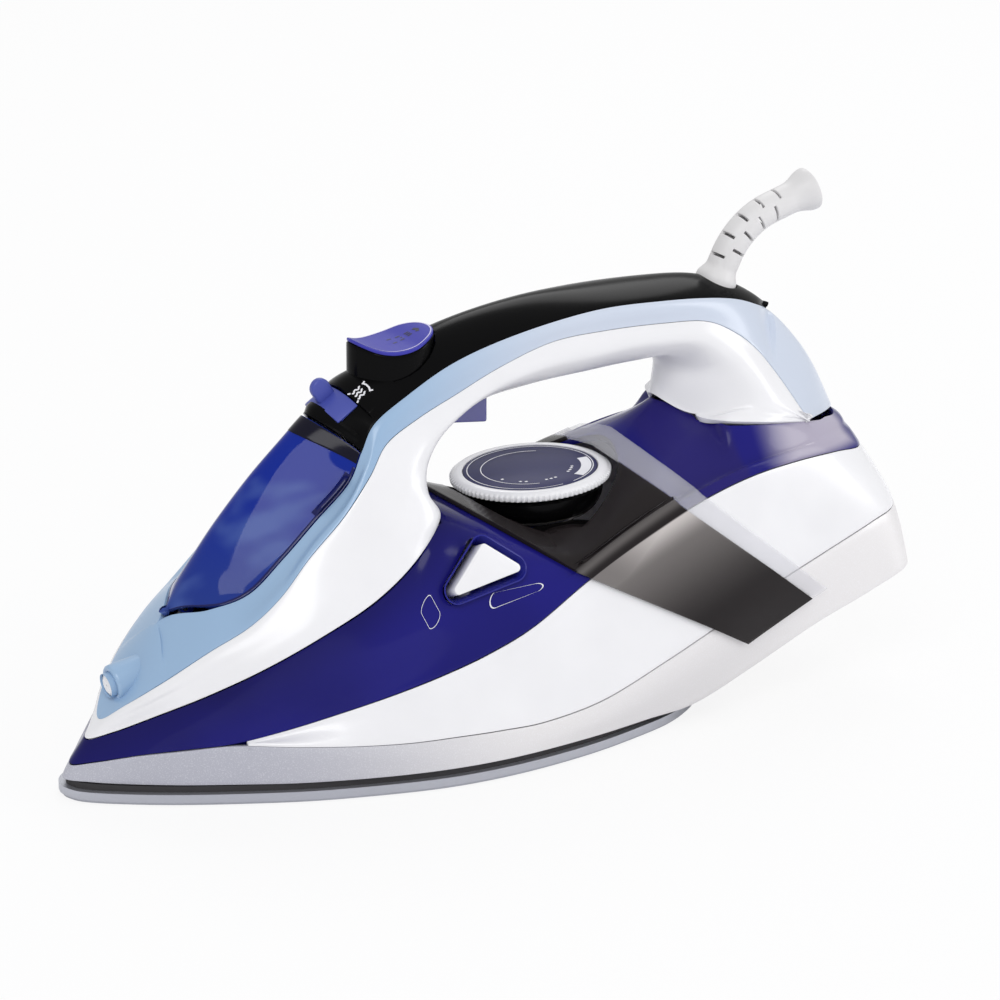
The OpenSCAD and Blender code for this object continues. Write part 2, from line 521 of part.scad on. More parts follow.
// ---------------------------------------------------------------- handle shells
rows_gap = spread(gap_from, gap_to, 33);
function upper_trim(u) = u <= door_from || u >= gap_to ? 1 : 1.03;
module handle_shell() {
  us = spread(0, trim_to, 66);
  side = patch_handle(us, function(u) spread(2.03, 4, 7), 0, -shell_t);
  wrap = patch_handle(rows_gap, function(u) spread(4, 5, 4), 0, -shell_t);
  seam_rows = [for (i = [0:65]) !(i >= 24 && i < 57)];
  color([0.95, 0.95, 0.96]) difference() {
    shells([[side, [false, true, true, seam_rows]], [flip_patch(side), [false, true, seam_rows, true]],
      [wrap, [true, true, false, false]], [flip_patch(wrap), [true, true, false, false]]]);
    trigger_opening();
  }
}
module handle_trim() {
  us = spread(0, trim_to, 66);
  side = patch_handle(us, function(u) [upper_trim(u), 1.5, 1.96], 0, -shell_t);
  edge_rows = [for (i = [0:65]) i >= 3 * door_from && i < 57];
  color([0.62, 0.72, 0.85]) difference() {
    union() {
      shells([[side, [false, true, edge_rows, true]], [flip_patch(side), [false, true, true, edge_rows]]]);
      at_nozzle() cylinder(d = housing_d, h = housing_len);
    }
    at_nozzle() translate([0, 0, -3]) cylinder(d = nozzle_d + 0.4, h = housing_len + 6);
  }
}
top_from = door_to + 0.04;
top_to = gap_to - 0.08;
module handle_top() {
  us = spread(top_from, top_to, 33);
  side = patch_handle(us, function(u) spread(0, 0.965, 5), 0, -shell_t);
  color([0.06, 0.06, 0.06]) difference() {
    shells([[side, [true, true, false, true]], [flip_patch(side), [true, true, true, false]]]);
    button_prism(0.45, button_z - 10, 60);
    lever_slot();
    at_sleeve() translate([0, 0, -12]) cylinder(d = sleeve_base_d + 0.8, h = 30);
  }
}

// ---------------------------------------------------------------- filler
door_t = 1.7;
door_front = 2.14;
door_back = door_to - 0.04;
door_pin_r = 0.9;
hinge_u = 2.5;
hinge_depth = 4.4;
hinge_dir = unit(along(line_t, hinge_u + 0.1) - along(line_t, hinge_u - 0.1));
hinge_slope = atan2(hinge_dir[2], hinge_dir[0]);
module at_hinge() translate(along(line_t, hinge_u)) rotate([0, -hinge_slope, 0])
  translate([0, 0, -hinge_depth]) children();
function door_edge(u) = 0.965 - 0.17 * (1 - smooth((u - 2.5) / 0.9));
module filler_door() {
  us = spread(door_front, door_back, 24);
  side = patch_handle(us, function(u) spread(0, door_edge(u), 5), 0, -door_t);
  color([0.2, 0.3, 0.62])
    shells([[side, [true, true, false, true]], [flip_patch(side), [true, true, true, false]]]);
}
module door_hinge() {
  color([0.2, 0.3, 0.62]) at_hinge() difference() {
    union() {
      rotate([90, 0, 0]) translate([0, 0, -2]) cylinder(r = 1.8, h = 4);
      translate([0, -2, -0.4]) cube([3, 4, hinge_depth - door_t + 0.1]);
    }
    rotate([90, 0, 0]) translate([0, 0, -4]) cylinder(r = door_pin_r + pin_gap / 2, h = 8);
  }
}
module door_pin() {
  color([0.7, 0.7, 0.7]) at_hinge() rotate([90, 0, 0]) translate([0, 0, -3.9]) cylinder(r = door_pin_r, h = 7.8);
}
basin_drop = 6.5;
function basin_depth(u, v) = let(a = max(0, 1 - pow(abs(u - 5.6) / 2.2, 2)), b = max(0, 1 - pow(v / 0.95, 4)))
  shell_t + 0.5 + basin_drop * sqrt(a) * b;
neck_u = 5.9;
neck_d = 21;
neck_drop = 10.3;
neck_dir = unit(along(line_t, neck_u + 0.1) - along(line_t, neck_u - 0.1));
module at_neck() translate(along(line_t, neck_u)) rotate([0, -atan2(neck_dir[2], neck_dir[0]), 0]) children();
basin_edge = 1.15;
// the round hole in the basin's floor: half of it is left out of each half of the basin
neck_span = 0.84;
neck_half = 0.58;
function neck_rim(u) = neck_half * sqrt(max(0, 1 - pow((u - neck_u) / neck_span, 2)));
module filler_basin() {
  us = spread(3.0, 7.8, 24);
  side = [for (more = [0, 1.2]) [for (u = us) [for (t = spread(0, 1, 6)) let(v = lerp(neck_rim(u), basin_edge, t))
    handle_at(u, v, -basin_depth(u, v) - more)]]];
  rim = [for (i = [0:23]) neck_rim(us[i]) > 0 || neck_rim(us[i + 1]) > 0];
  color([0.18, 0.22, 0.5])
    shells([[side, [true, true, rim, true]], [flip_patch(side), [true, true, true, rim]]]);
}
module filler_neck() {
  color([0.2, 0.24, 0.55]) at_neck() difference() {
    translate([0, 0, -24]) cylinder(d = neck_d, h = 24 - neck_drop);
    translate([0, 0, -25]) cylinder(d = neck_d - 3, h = 25);
  }
}
module hinge_ears() {
  color([0.18, 0.22, 0.5]) at_hinge() difference() {
    union() {
      for (side = [-1, 1]) translate([-1.3, side * 3.1 - 0.7, -2.9]) cube([8, 1.4, 3.3]);
      translate([-1.3, -3.8, -2.9]) cube([12.6, 7.6, 0.9]);
    }
    rotate([90, 0, 0]) translate([0, 0, -8]) cylinder(r = door_pin_r, h = 16);
  }
}

// ---------------------------------------------------------------- spray nozzle
nozzle_x = px(19.5);
nozzle_z = pz(36.6);
nozzle_rise = 11;
nozzle_d = 8;
housing_d = 12.6;
housing_len = 13;
module at_nozzle() translate([nozzle_x, 0, nozzle_z]) rotate([0, 90 - nozzle_rise, 0]) children();
module spray_nozzle() {
  color([0.95, 0.95, 0.95]) at_nozzle() difference() {
    union() {
      translate([0, 0, -1]) cylinder(d = nozzle_d, h = 13);
      translate([0, 0, -1.7]) cylinder(d1 = nozzle_d - 2.4, d2 = nozzle_d, h = 0.7);
    }
    translate([0, 0, -2]) cylinder(d = 1, h = 10);
  }
}
hose_d = 4;
hose_route = placed_line([[32.4, 0, 39.2], [42, -8, 44], [62, -13, 60], [88, -15, 80], [108, -13, 96],
  [116, -12.4, 103.5], [122.9, -6.2, 111.2]]);
// a tube swept along points, with a ring at each step
tube_sides = 8;
function ring_at(c, d, r) = let(a = unit(cross(d, [0.13, 0.99, 0.05])), b = cross(d, a))
  [for (k = [0:tube_sides - 1]) c + r * (cos(k * 360 / tube_sides) * a + sin(k * 360 / tube_sides) * b)];
function tube_rings(points, r, steps) = let(n = (len(points) - 1) * steps)
  [for (i = [0:n]) let(u = i / steps) ring_at(along(points, u), unit(along(points, u + 0.05) - along(points, u - 0.05)), r)];
module route(points, d, steps = 4) {
  rings = tube_rings(points, d / 2, steps);
  n = len(rings);
  k = tube_sides;
  polyhedron(points = [for (g = rings) for (p = g) p],
    faces = concat([[for (q = [0:k - 1]) q]], [[for (q = [k - 1:-1:0]) (n - 1) * k + q]],
      [for (i = [0:n - 2]) for (q = [0:k - 1]) let(w = (q + 1) % k)
        for (f = [[i * k + q, (i + 1) * k + q, (i + 1) * k + w], [i * k + q, (i + 1) * k + w, i * k + w]]) f]));
}
module nozzle_hose() {
  color([0.85, 0.85, 0.85]) route(hose_route, hose_d);
}

// ---------------------------------------------------------------- spray button and pump
button_x = px(126.3);
button_z = pz(128.6);
button_taper = 0.1;
function button_outline(gap) = [for (i = [0:71]) let(a = i * 5,
  r = 1 + button_taper * cos(a))
  [(button_len / 2 + gap) * cos(a), (button_w / 2 + gap) * sin(a) * r]];
module button_prism(gap, z, h) translate([button_x, 0, z]) linear_extrude(h) polygon(button_outline(gap));
button_top = placed_line([[109, 0, 144.6], [113, 0, 142.2], [118, 0, 140.2], [123.5, 0, 139.6], [130, 0, 140.5],
  [136, 0, 142.6], [141, 0, 144], [145, 0, 144]]);
cap_t = 1.3;
module below_top(drop) rotate([90, 0, 0]) translate([0, 0, -30]) linear_extrude(60)
  polygon(concat([for (i = [0:42]) let(p = along(button_top, i / 6)) [p[0], p[2] - drop]],
    [[px(145), button_z - 5], [px(109), button_z - 5]]));
module spray_button() {
  color([0.07, 0.07, 0.07]) difference() {
    intersection() {
      button_prism(0, button_z, 40);
      below_top(cap_t);
    }
    translate([pump_x, 0, button_z - 1]) cylinder(d = 4, h = 5);
  }
}
module spray_button_cap() {
  color([0.36, 0.36, 0.72]) difference() {
    intersection() {
      button_prism(-0.2, button_z, 40);
      below_top(0);
    }
    below_top(cap_t);
  }
}
pump_x = px(128.2);
pump_d = 11;
piston_d = 6;
pump_z = pz(107.5);
pump_h = 10.5;
module spray_pump() {
  color([0.9, 0.9, 0.9]) difference() {
    translate([pump_x, 0, pump_z]) cylinder(d = pump_d, h = pump_h);
    translate([pump_x, 0, pump_z + 2]) cylinder(d = piston_d + pin_gap, h = pump_h);
  }
}
module spray_piston() {
  color([0.55, 0.55, 0.6]) {
    translate([pump_x, 0, pump_z + 3 + button_travel]) cylinder(d = piston_d, h = button_z - pump_z - 3 - button_travel);
    translate([pump_x, 0, button_z]) cylinder(d = 4, h = 4);
  }
}
module spring(x, y, z, d, wire, h) translate([x, y, z]) difference() {
  cylinder(d = d, h = h);
  translate([0, 0, -1]) cylinder(d = d - 2 * wire, h = h + 2);
}
module spray_spring() {
  color([0.75, 0.75, 0.75]) spring(pump_x, 0, pump_z + pump_h + 0.1, 9, 1, button_z - pump_z - pump_h - 0.2);
}

// ---------------------------------------------------------------- steam lever and valve
lever_u = 8.72;
lever_dir = unit(along(line_t, lever_u + 0.1) - along(line_t, lever_u - 0.1));
lever_slope = atan2(lever_dir[2], lever_dir[0]);
lever_span = 37;
hub_r = 3.4;
module at_lever() translate(along(line_t, lever_u)) rotate([0, -lever_slope, 0])
  translate([0, 0, -lever_r]) children();
// a ring sector round the lever's axis, centred on the top
module sector(r0, r1, w, half) translate([-w / 2, 0, 0]) rotate([90, 0, 90])
  rotate([0, 0, 90 - half]) rotate_extrude(angle = 2 * half) translate([r0, 0]) square([r1 - r0, w]);
module lever_slot() at_lever() {
  sector(lever_r - 5, lever_r + 3, lever_w + 0.9, lever_span + lever_swing + 0.5);
  sector(lever_r - 5, lever_r + 12, lever_w + 0.9, lever_swing + 17);
}
module steam_lever() {
  color([0.25, 0.28, 0.65]) at_lever() difference() {
    union() {
      sector(lever_r - 2.4, lever_r + 0.2, lever_w, lever_span);
      sector(hub_r - 0.6, lever_r - 1, 2.4, lever_span * 0.5);
      translate([-lever_w / 2, 0, 0]) rotate([0, 90, 0]) cylinder(r = hub_r, h = lever_w);
      translate([0, 0, lever_r - 1]) rotate([90, 0, 0]) translate([0, 0, -1.5]) linear_extrude(3)
        intersection() {
          union() {
            translate([0, 4]) circle(3.6);
            translate([-3.6, 0]) square([7.2, 4]);
          }
          translate([-lever_w / 2, 0]) square([lever_w, 12]);
        }
    }
    translate([-lever_w / 2 - 1, 0, 0]) rotate([0, 90, 0]) cylinder(r = pin_hole, h = lever_w + 2);
  }
}
bracket_w = 12;
bracket_drop = 8;
module lever_bracket() {
  cheek = lever_w / 2 + side_play;
  color([0.2, 0.2, 0.2]) at_lever() {
    translate([-cheek - 2, 0, 0]) rotate([0, 90, 0]) cylinder(r = pin_r, h = 2 * cheek + 4);
    difference() {
      for (x = [-cheek - 2, cheek]) translate([x, -bracket_w / 2, -bracket_drop]) cube([2, bracket_w, bracket_drop + 3]);
      translate([-20, 0, 0]) rotate([0, 90, 0]) cylinder(r = pin_r, h = 40);
    }
    translate([-cheek - 2, -bracket_w / 2, -bracket_drop]) cube([2 * cheek + 4, bracket_w, 2]);
  }
}
seat_d = 8;
rod_d = 4;
rod_top = pz(94);
module valve_rod() {
  color([0.75, 0.75, 0.75]) translate([valve_x, 0, cover_top + 2.5]) cylinder(d = rod_d, h = rod_top - cover_top - 2.5);
}
module valve_seat() {
  color([0.8, 0.78, 0.7]) difference() {
    translate([valve_x, 0, cover_top]) cylinder(d = seat_d, h = floor_top + 6 - cover_top);
    translate([valve_x, 0, cover_top - 1]) cylinder(d = rod_d + pin_gap, h = 40);
  }
}

// ---------------------------------------------------------------- steam trigger and pump
trigger_x = px(146);
trigger_z = pz(121);
steam_pump_x = px(157);
steam_piston_d = 5;
steam_pump_z = pz(127.5);
steam_pump_h = pz(141) - pz(127.5);
trigger_top = pz(122);
trigger_play = 0.6;
module trigger_opening() translate([px(141.6), -trigger_w / 2 - trigger_play, pz(96)])
  cube([px(163.6) - px(141.6), trigger_w + 2 * trigger_play, pz(121.5) - pz(96)]);
module steam_trigger() {
  profile = [for (p = [[143.4, 113.5], [146.5, 109.6], [161.3, 107.9], [161.3, 122], [150, 122], [148.5, 124],
    [143.6, 124], [142.8, 119]]) [px(p[0]), pz(p[1])]];
  color([0.4, 0.4, 0.65]) difference() {
    translate([0, trigger_w / 2, 0]) rotate([90, 0, 0]) linear_extrude(trigger_w) polygon(profile);
    translate([px(149), -trigger_w / 2 + 1.5, pz(109.5)]) cube([px(159.8) - px(149), trigger_w - 3, pz(118) - pz(109.5)]);
    translate([px(159), -trigger_w / 2 + 1.5, pz(109.5)]) cube([px(160.4) - px(159), trigger_w - 3, pz(118) - pz(109.5)]);
    translate([trigger_x, 20, trigger_z]) rotate([90, 0, 0]) cylinder(r = pin_hole, h = 40);
  }
}
module trigger_pin() {
  color([0.7, 0.7, 0.7]) translate([trigger_x, rib_y, trigger_z]) rotate([90, 0, 0])
    cylinder(r = pin_r, h = rib_y + trigger_w / 2 + 3);
}
module steam_pump() {
  color([0.9, 0.9, 0.9]) difference() {
    translate([steam_pump_x, 0, steam_pump_z]) cylinder(d = pump_d, h = steam_pump_h);
    translate([steam_pump_x, 0, steam_pump_z - 1]) cylinder(d = steam_piston_d + pin_gap, h = steam_pump_h - 1);
  }
}
module steam_piston() {
  color([0.55, 0.55, 0.6]) translate([steam_pump_x, 0, trigger_top + 0.3])
    cylinder(d = steam_piston_d, h = steam_pump_z + 5 - trigger_top - 0.3);
}
module trigger_spring() {
  color([0.75, 0.75, 0.75]) spring(steam_pump_x, 0, trigger_top + 0.15, 9, 1, steam_pump_z - trigger_top - 0.3);
}

// ---------------------------------------------------------------- handle frame and wiring
rib_y = trigger_w / 2 + 0.3;
rib_t = 2.4;
tray_w = 22.6;
module handle_frame() {
  rib = [for (p = [[125, 105.4], [129.4, 105.6], [136.5, 114], [152, 120.6], [168, 123.5], [168, 140], [154, 138],
    [151.5, 124.5], [131, 119.5], [125, 115]]) [px(p[0]), pz(p[1])]];
  color([0.3, 0.3, 0.32]) difference() {
    union() {
      translate([0, rib_y + rib_t, 0]) rotate([90, 0, 0]) linear_extrude(rib_t) polygon(rib);
      translate([px(166), -tray_w / 2, pz(125.5)]) cube([px(262) - px(166), tray_w, 2]);
      translate([px(123.8), -13.5, pump_z - 2.3]) cube([px(129.4) - px(123.8), 27, 2]);
    }
    translate([trigger_x, 20, trigger_z]) rotate([90, 0, 0]) cylinder(r = pin_r, h = 40);
  }
}
module terminal_block() {
  color([0.8, 0.8, 0.78]) difference() {
    translate([px(243), -9, pz(113.5)]) cube([px(264) - px(243), 18, pz(125.4) - pz(113.5)]);
    for (y = [-6, 0, 6]) translate([px(251), y, pz(113.5) - 1]) cylinder(d = 3, h = 7);
  }
}
lead_d = 2.4;
module mains_leads() {
  color([0.6, 0.2, 0.15]) for (side = [-1, 1])
    route(placed_line([[219.3, -30 * side, 12], [230, -28 * side, 16.5], [243, -20 * side, 45], [251, -8 * side, 92],
      [251, -6 * side, 114.5]]), lead_d);
}

// ---------------------------------------------------------------- self-clean button
clean_x = px(139);
clean_y = -ky * 42;
clean_z = pz(69);
clean_lean = 23.5;
clean_rim = 2.6;
module at_clean() translate([clean_x, clean_y, clean_z]) rotate([90 - clean_lean, 0, 0]) children();
module clean_prism(grow, z, h) at_clean() translate([0, 0, z]) linear_extrude(h)
  hull() for (p = [[1, 9.2], [15, -1.9], [-16, -7.2]])
    translate(p * (clean_side / 31) * 0.86) circle(r = 1.6 + grow, $fn = 24);
module self_clean_button() {
  color([0.95, 0.95, 0.95]) clean_prism(0, -5.5, 7.3);
}
module self_clean_guide() {
  color([0.3, 0.3, 0.55]) difference() {
    clean_prism(clean_rim, -11.5, 9.5);
    clean_prism(side_play, -10, 10);
  }
}
module self_clean_spring() {
  color([0.75, 0.75, 0.75]) at_clean() translate([0, 0, -9.9]) difference() {
    cylinder(d = 6, h = 4.3);
    translate([0, 0, -1]) cylinder(d = 4.4, h = 7);
  }
}

// ---------------------------------------------------------------- cord sleeve
sleeve_x = px(258);
sleeve_z = pz(144.2);
sleeve_lean = 27;
sleeve_base_d = 15;
sleeve_straight = 9;
sleeve_turn = 46;
sleeve_end = 17.5;
stem_d = 9.6;
stem_len = 11;
module at_sleeve() translate([sleeve_x, 0, sleeve_z]) rotate([0, sleeve_lean, 0]) children();
module at_bend_end() at_sleeve() translate([bend_r, 0, sleeve_straight]) rotate([0, sleeve_turn, 0])
  translate([-bend_r, 0, 0]) children();
module sleeve_bend(d) at_sleeve() translate([bend_r, 0, sleeve_straight]) rotate([90, 180, 0])
  rotate_extrude(angle = -sleeve_turn) translate([bend_r, 0]) circle(d = d);
module cord_sleeve() {
  r = sleeve_d / 2;
  color([0.96, 0.96, 0.96]) {
    at_sleeve() rotate_extrude() polygon([[cord_d / 2, -stem_len], [stem_d / 2, -stem_len], [stem_d / 2, 0.3],
      [sleeve_base_d / 2, 0.3], [sleeve_base_d / 2, 1.2], [r + 0.7, 3.6], [r, 5.2], [r, sleeve_straight],
      [cord_d / 2, sleeve_straight]]);
    difference() {
      sleeve_bend(sleeve_d);
      sleeve_bend(cord_d);
    }
    at_bend_end() rotate_extrude() polygon([[cord_d / 2, 0], [r, 0], [r, sleeve_end - 8],
      [r + 1, sleeve_end - 4.5], [mouth_d / 2 - 0.4, sleeve_end - 0.8], [mouth_d / 2, sleeve_end - 0.3],
      [mouth_d / 2, sleeve_end], [cord_d / 2, sleeve_end]]);
  }
}
socket_d = 18;
socket_drop = 4.8;
module cord_socket() {
  color([0.15, 0.15, 0.15]) at_sleeve() difference() {
    translate([0, 0, -stem_len]) cylinder(d = socket_d, h = stem_len - socket_drop);
    translate([0, 0, -stem_len - 1]) cylinder(d = stem_d + pin_gap, h = stem_len + 2);
  }
}

soleplate();
heater_casting();
heating_element();
chamber_cover();
chamber_screws();
sole_gasket();
base_skirt();
heel_plate();
heat_shield();
side_panels();
water_tank();
tank_floor();
deck_cover();
deck_edge_strip();
dial_cup();
handle_shell();
handle_trim();
handle_top();
filler_basin();
filler_neck();
hinge_ears();
filler_door();
door_hinge();
door_pin();
spray_nozzle();
nozzle_hose();
dial_ring();
dial_disc();
thermostat_shaft();
thermostat();
thermal_fuse();
spray_button();
spray_button_cap();
spray_piston();
spray_spring();
spray_pump();
steam_lever();
lever_bracket();
valve_rod();
valve_seat();
steam_trigger();
trigger_pin();
trigger_spring();
steam_pump();
steam_piston();
self_clean_button();
self_clean_spring();
self_clean_guide();
cord_sleeve();
cord_socket();
terminal_block();
mains_leads();
handle_frame();
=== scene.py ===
"""Steam iron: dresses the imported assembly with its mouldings, finishes, light and floor.

Lengths are in millimetres until a point is placed, and the axes are those of the
assembly: X runs from the nose to the heel, the button side is -Y and Z is up.
"""

import logging
import math
from collections.abc import Callable, Iterable, Sequence
from dataclasses import dataclass, field
from enum import Enum

import bmesh
import bpy
from mathutils import Matrix, Vector


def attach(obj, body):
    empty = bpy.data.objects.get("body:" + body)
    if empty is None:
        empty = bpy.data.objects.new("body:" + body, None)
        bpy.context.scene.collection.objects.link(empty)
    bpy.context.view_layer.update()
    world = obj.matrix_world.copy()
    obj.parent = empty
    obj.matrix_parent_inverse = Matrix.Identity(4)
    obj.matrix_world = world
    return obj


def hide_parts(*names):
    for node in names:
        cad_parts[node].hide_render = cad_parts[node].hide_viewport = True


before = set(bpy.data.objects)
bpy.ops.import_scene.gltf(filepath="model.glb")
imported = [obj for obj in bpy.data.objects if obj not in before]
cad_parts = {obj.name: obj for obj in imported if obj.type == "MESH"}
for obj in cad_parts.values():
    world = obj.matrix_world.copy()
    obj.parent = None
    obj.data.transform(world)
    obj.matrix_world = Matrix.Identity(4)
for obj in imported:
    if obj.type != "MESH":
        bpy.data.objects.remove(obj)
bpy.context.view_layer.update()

LOG = logging.getLogger("steam_iron")
MM = 0.001
ON_AXIS = 1e-7
Place = Callable[[float, float], Vector]


# ------------------------------------------------------------------ styling lines
def spline(a: Vector, b: Vector, c: Vector, d: Vector, t: float) -> Vector:
    """Passes smoothly from b to c as t goes from 0 to 1, with a before them and d after them."""
    return b + 0.5 * t * (c - a + t * (2 * a - 5 * b + 4 * c - d + t * (3 * (b - c) + d - a)))


def smooth(t: float) -> float:
    """Rises softly from 0 to 1."""
    s = max(0.0, min(1.0, t))
    return s * s * (3 - 2 * s)


def lerp(a: float, b: float, t: float) -> float:
    """Goes straight from a to b."""
    return a + (b - a) * t


def flip(p: Vector) -> Vector:
    """Returns the same place on the other side of the iron."""
    return Vector((p.x, -p.y, p.z))


NOSE = 119.0


def placed(distance: float, half: float, height: float) -> Vector:
    """Places a point on the near side.

    Args:
        distance: millimetres behind the nose.
        half: millimetres from the middle plane.
        height: millimetres above the board.

    Returns:
        The point in metres.
    """
    return Vector(((distance - NOSE) * MM, -half * MM, height * MM))


class StylingLine:
    """A smooth line over stations that run from the nose to the heel."""

    def __init__(self, *stations: tuple[float, float, float]) -> None:
        """Places the stations, each [distance behind the nose, half width, height]."""
        self.points = [placed(*s) for s in stations]

    def _node(self, i: int) -> Vector:
        """Returns a station, or the one that rounds or lengthens the line past its end."""
        if 0 <= i < len(self.points):
            return self.points[i]
        end, inner = self.points[:2] if i < 0 else (self.points[-1], self.points[-2])
        round_end = abs(end.y) < ON_AXIS and abs(inner.y) > ON_AXIS
        return flip(inner) if round_end else 2 * end - inner

    def at(self, u: float) -> Vector:
        """Returns the point at station u."""
        i = max(0, min(len(self.points) - 2, math.floor(u)))
        return spline(self._node(i - 1), self._node(i), self._node(i + 1), self._node(i + 2), u - i)


SKIRT_EDGE = StylingLine(
    (1, 0, 6.5), (8, 8.5, 6.5), (19, 17, 6.5), (33, 26, 6.5), (48, 34, 6.5), (66, 43, 6.5), (85, 50, 6.5),
    (103, 55, 6.5), (120, 58, 6.5), (137, 59, 6.5), (155, 58, 6.5), (178, 55, 6.5), (200, 50.5, 6.5),
    (222, 46.5, 7), (246, 45, 15.2), (273, 45, 26.8), (298, 44, 35), (315, 41, 41),
    (319.3, 24, 43.3), (320, 0, 43.8))
SKIRT_SEAM = StylingLine(
    (3.5, 0, 11), (9, 7.5, 13), (20, 18.5, 16.8), (34, 27, 18.8), (48, 33.5, 20), (66, 43, 19.3),
    (85, 50.5, 18.4), (103, 55, 17.6), (120, 57, 17.2), (137, 57.7, 16.6), (155, 57.5, 16.4),
    (178, 56.5, 19.5), (203, 54.5, 27.5), (228, 52, 36.5), (252, 48.5, 45.5), (276, 44.5, 52.5),
    (299, 40.5, 59), (312.5, 34.5, 61.5), (319, 20, 63.5), (320, 0, 64))
TANK_EDGE = StylingLine(
    (3.7, 0, 11.4), (9.3, 7.6, 13.4), (20.4, 18.6, 17.2), (34.4, 27, 19.3), (48.5, 33.3, 20.7),
    (66, 38.5, 24), (85, 44.5, 29), (103, 47.5, 33), (120, 49, 37), (137, 49.3, 41.5), (155, 48.5, 47.8),
    (178, 46, 59.5), (200, 45, 70), (225, 43.5, 79.5), (247, 41, 84.3), (268, 38, 85.8), (288, 33.5, 85.2),
    (302, 27, 83.2), (309.5, 14, 83), (312, 0, 83))
TANK_FULL = StylingLine(
    (6.5, 0, 15), (12.5, 7.8, 17.7), (24, 19.5, 23), (37.5, 29, 28), (53, 37, 33), (71, 42, 39.5),
    (91, 45.5, 47), (109, 46, 54), (126, 43.5, 61), (142, 42, 65), (159, 43.5, 61.5), (180, 42.5, 65),
    (203, 41, 75.5), (231, 36, 83.5), (248, 36.5, 88), (266, 34.7, 90), (285, 30, 90.8), (299, 22, 88.5),
    (306.5, 12, 87.7), (309.5, 0, 87.5))
SHOULDER = StylingLine(
    (9.4, 0, 18.9), (16, 8, 22.4), (28, 19, 29.8), (41, 29, 37.3), (57.5, 37.5, 46), (76, 42, 55),
    (97, 42.5, 64.3), (115, 38.5, 74.5), (130, 28.7, 83.3), (145, 28, 79), (161, 33, 71.3),
    (181, 34, 69), (204, 31, 82.5), (241, 15, 99), (247, 26.5, 99.2), (263, 30, 98.2),
    (281, 26, 95.5), (297, 18.5, 92.5),
    (304, 10, 91.5), (307, 0, 91))
DECK_MIDDLE = StylingLine(
    (133.5, 0, 85.4), (146, 0, 83), (162, 0, 80), (182, 0, 80.5), (204, 0, 89), (232.4, 0, 104.3))
CREST = StylingLine(
    (13, 0, 24), (24, 0, 37), (37.5, 0, 55.6), (46, 0, 67.8), (54, 0, 78.8), (62, 0, 88.4), (73, 0, 100.2),
    (83.5, 0, 110), (94, 0, 118.8), (105, 0, 126.3), (120, 0, 134.6), (137, 0, 141), (157, 0, 146),
    (180, 0, 149), (203, 0, 149.6), (226, 0, 149.4), (246, 0, 148), (261, 0, 143.8), (272, 0, 138),
    (280.5, 0, 130.5))
TRIM_TOP = StylingLine(
    (14.5, 0, 25.5), (24, 0, 37), (37.5, 0, 55.6), (49, 14, 61.8), (61.5, 19.5, 66.8), (73.7, 21, 77.5),
    (86.3, 21, 88.8), (99, 20.3, 99.5), (104.5, 19.5, 109.5), (110, 18.8, 118.5), (123.5, 17, 125.8),
    (140, 15.7, 133.3), (158, 15, 138.4), (180.6, 15, 142.6), (203, 15, 144.8), (226, 15, 144.2),
    (244, 14, 142.6), (258, 12.2, 140), (270, 8, 135.4), (280.5, 0, 129.9), (290.5, 0, 120), (298.5, 0, 109),
    (307, 0, 92.5))
TRIM_SEAM = StylingLine(
    (14.5, 0, 25.2), (20.5, 9.5, 32.2), (31, 18, 41.3), (44, 24.5, 51), (57, 29, 59), (68, 30.5, 68),
    (79, 30, 79.5), (93, 28.3, 91), (104.5, 25.5, 102.5), (113, 22, 111.8), (127, 19.2, 118),
    (142, 17.7, 123.5), (160, 17, 130.5), (181, 16.5, 136.2), (203, 16.5, 137.2), (225, 16.5, 136.6),
    (243, 17, 135), (255, 18, 129.3), (263, 19.5, 122.5), (269, 21.3, 114.8), (274.5, 23.3, 106.5),
    (278.5, 25, 100), (281.5, 26, 95.9))
SHELL_FULL = StylingLine(
    (12, 0, 22), (18.5, 9.5, 27.5), (30, 19.5, 36), (43, 28, 44.3), (58, 34.5, 53), (73, 38, 62),
    (89.5, 38, 72.5), (105, 35, 83.5), (117, 30, 93.5), (121, 26.5, 101.5), (130, 22, 109),
    (141, 19.5, 115.5), (156.5, 18, 122.5), (178.5, 17.3, 127.5), (201.5, 17.3, 129),
    (220, 17.5, 130), (239, 19, 128.5), (249.5, 21.5, 122), (255, 24.5, 115), (258, 27, 108.5),
    (263, 28.8, 104.3), (272, 28.4, 99.8), (281.4, 26.2, 95.8))
SHELL_EDGE = StylingLine(
    (9.6, 0, 19.3), (16.2, 7.9, 22.8), (28.2, 18.8, 30.2), (41.2, 28.8, 37.7), (57.6, 37.2, 46.4),
    (76, 41.7, 55.4), (96.8, 42.2, 64.8), (114.7, 38.3, 75), (129.6, 28.8, 85), (128, 23.5, 92),
    (128.5, 19.5, 100), (136, 15, 109.6), (151, 12, 117.3), (175.5, 11, 120.8), (200, 11, 122.3),
    (216, 11.5, 123.2), (232.5, 12, 123), (240.5, 13.3, 118), (241.5, 14, 110), (241.3, 15, 101.2),
    (247, 26.3, 101.5), (261, 30.8, 100), (281.3, 26.1, 95.8))
GAP_WALL = StylingLine(
    (133.5, 0, 87), (130.6, 0, 92), (130.6, 0, 99), (137.5, 0, 108), (152, 0, 115.6), (176, 0, 119),
    (200, 0, 120.5), (216, 0, 121.8), (230, 0, 121.5), (233.8, 0, 117.5), (233.2, 0, 111),
    (231.8, 0, 106.3))
BUTTON_TOP = StylingLine(
    (109, 0, 144.6), (113, 0, 142.2), (118, 0, 140.2), (123.5, 0, 139.6), (130, 0, 140.5), (136, 0, 142.6),
    (141, 0, 144), (145, 0, 144))


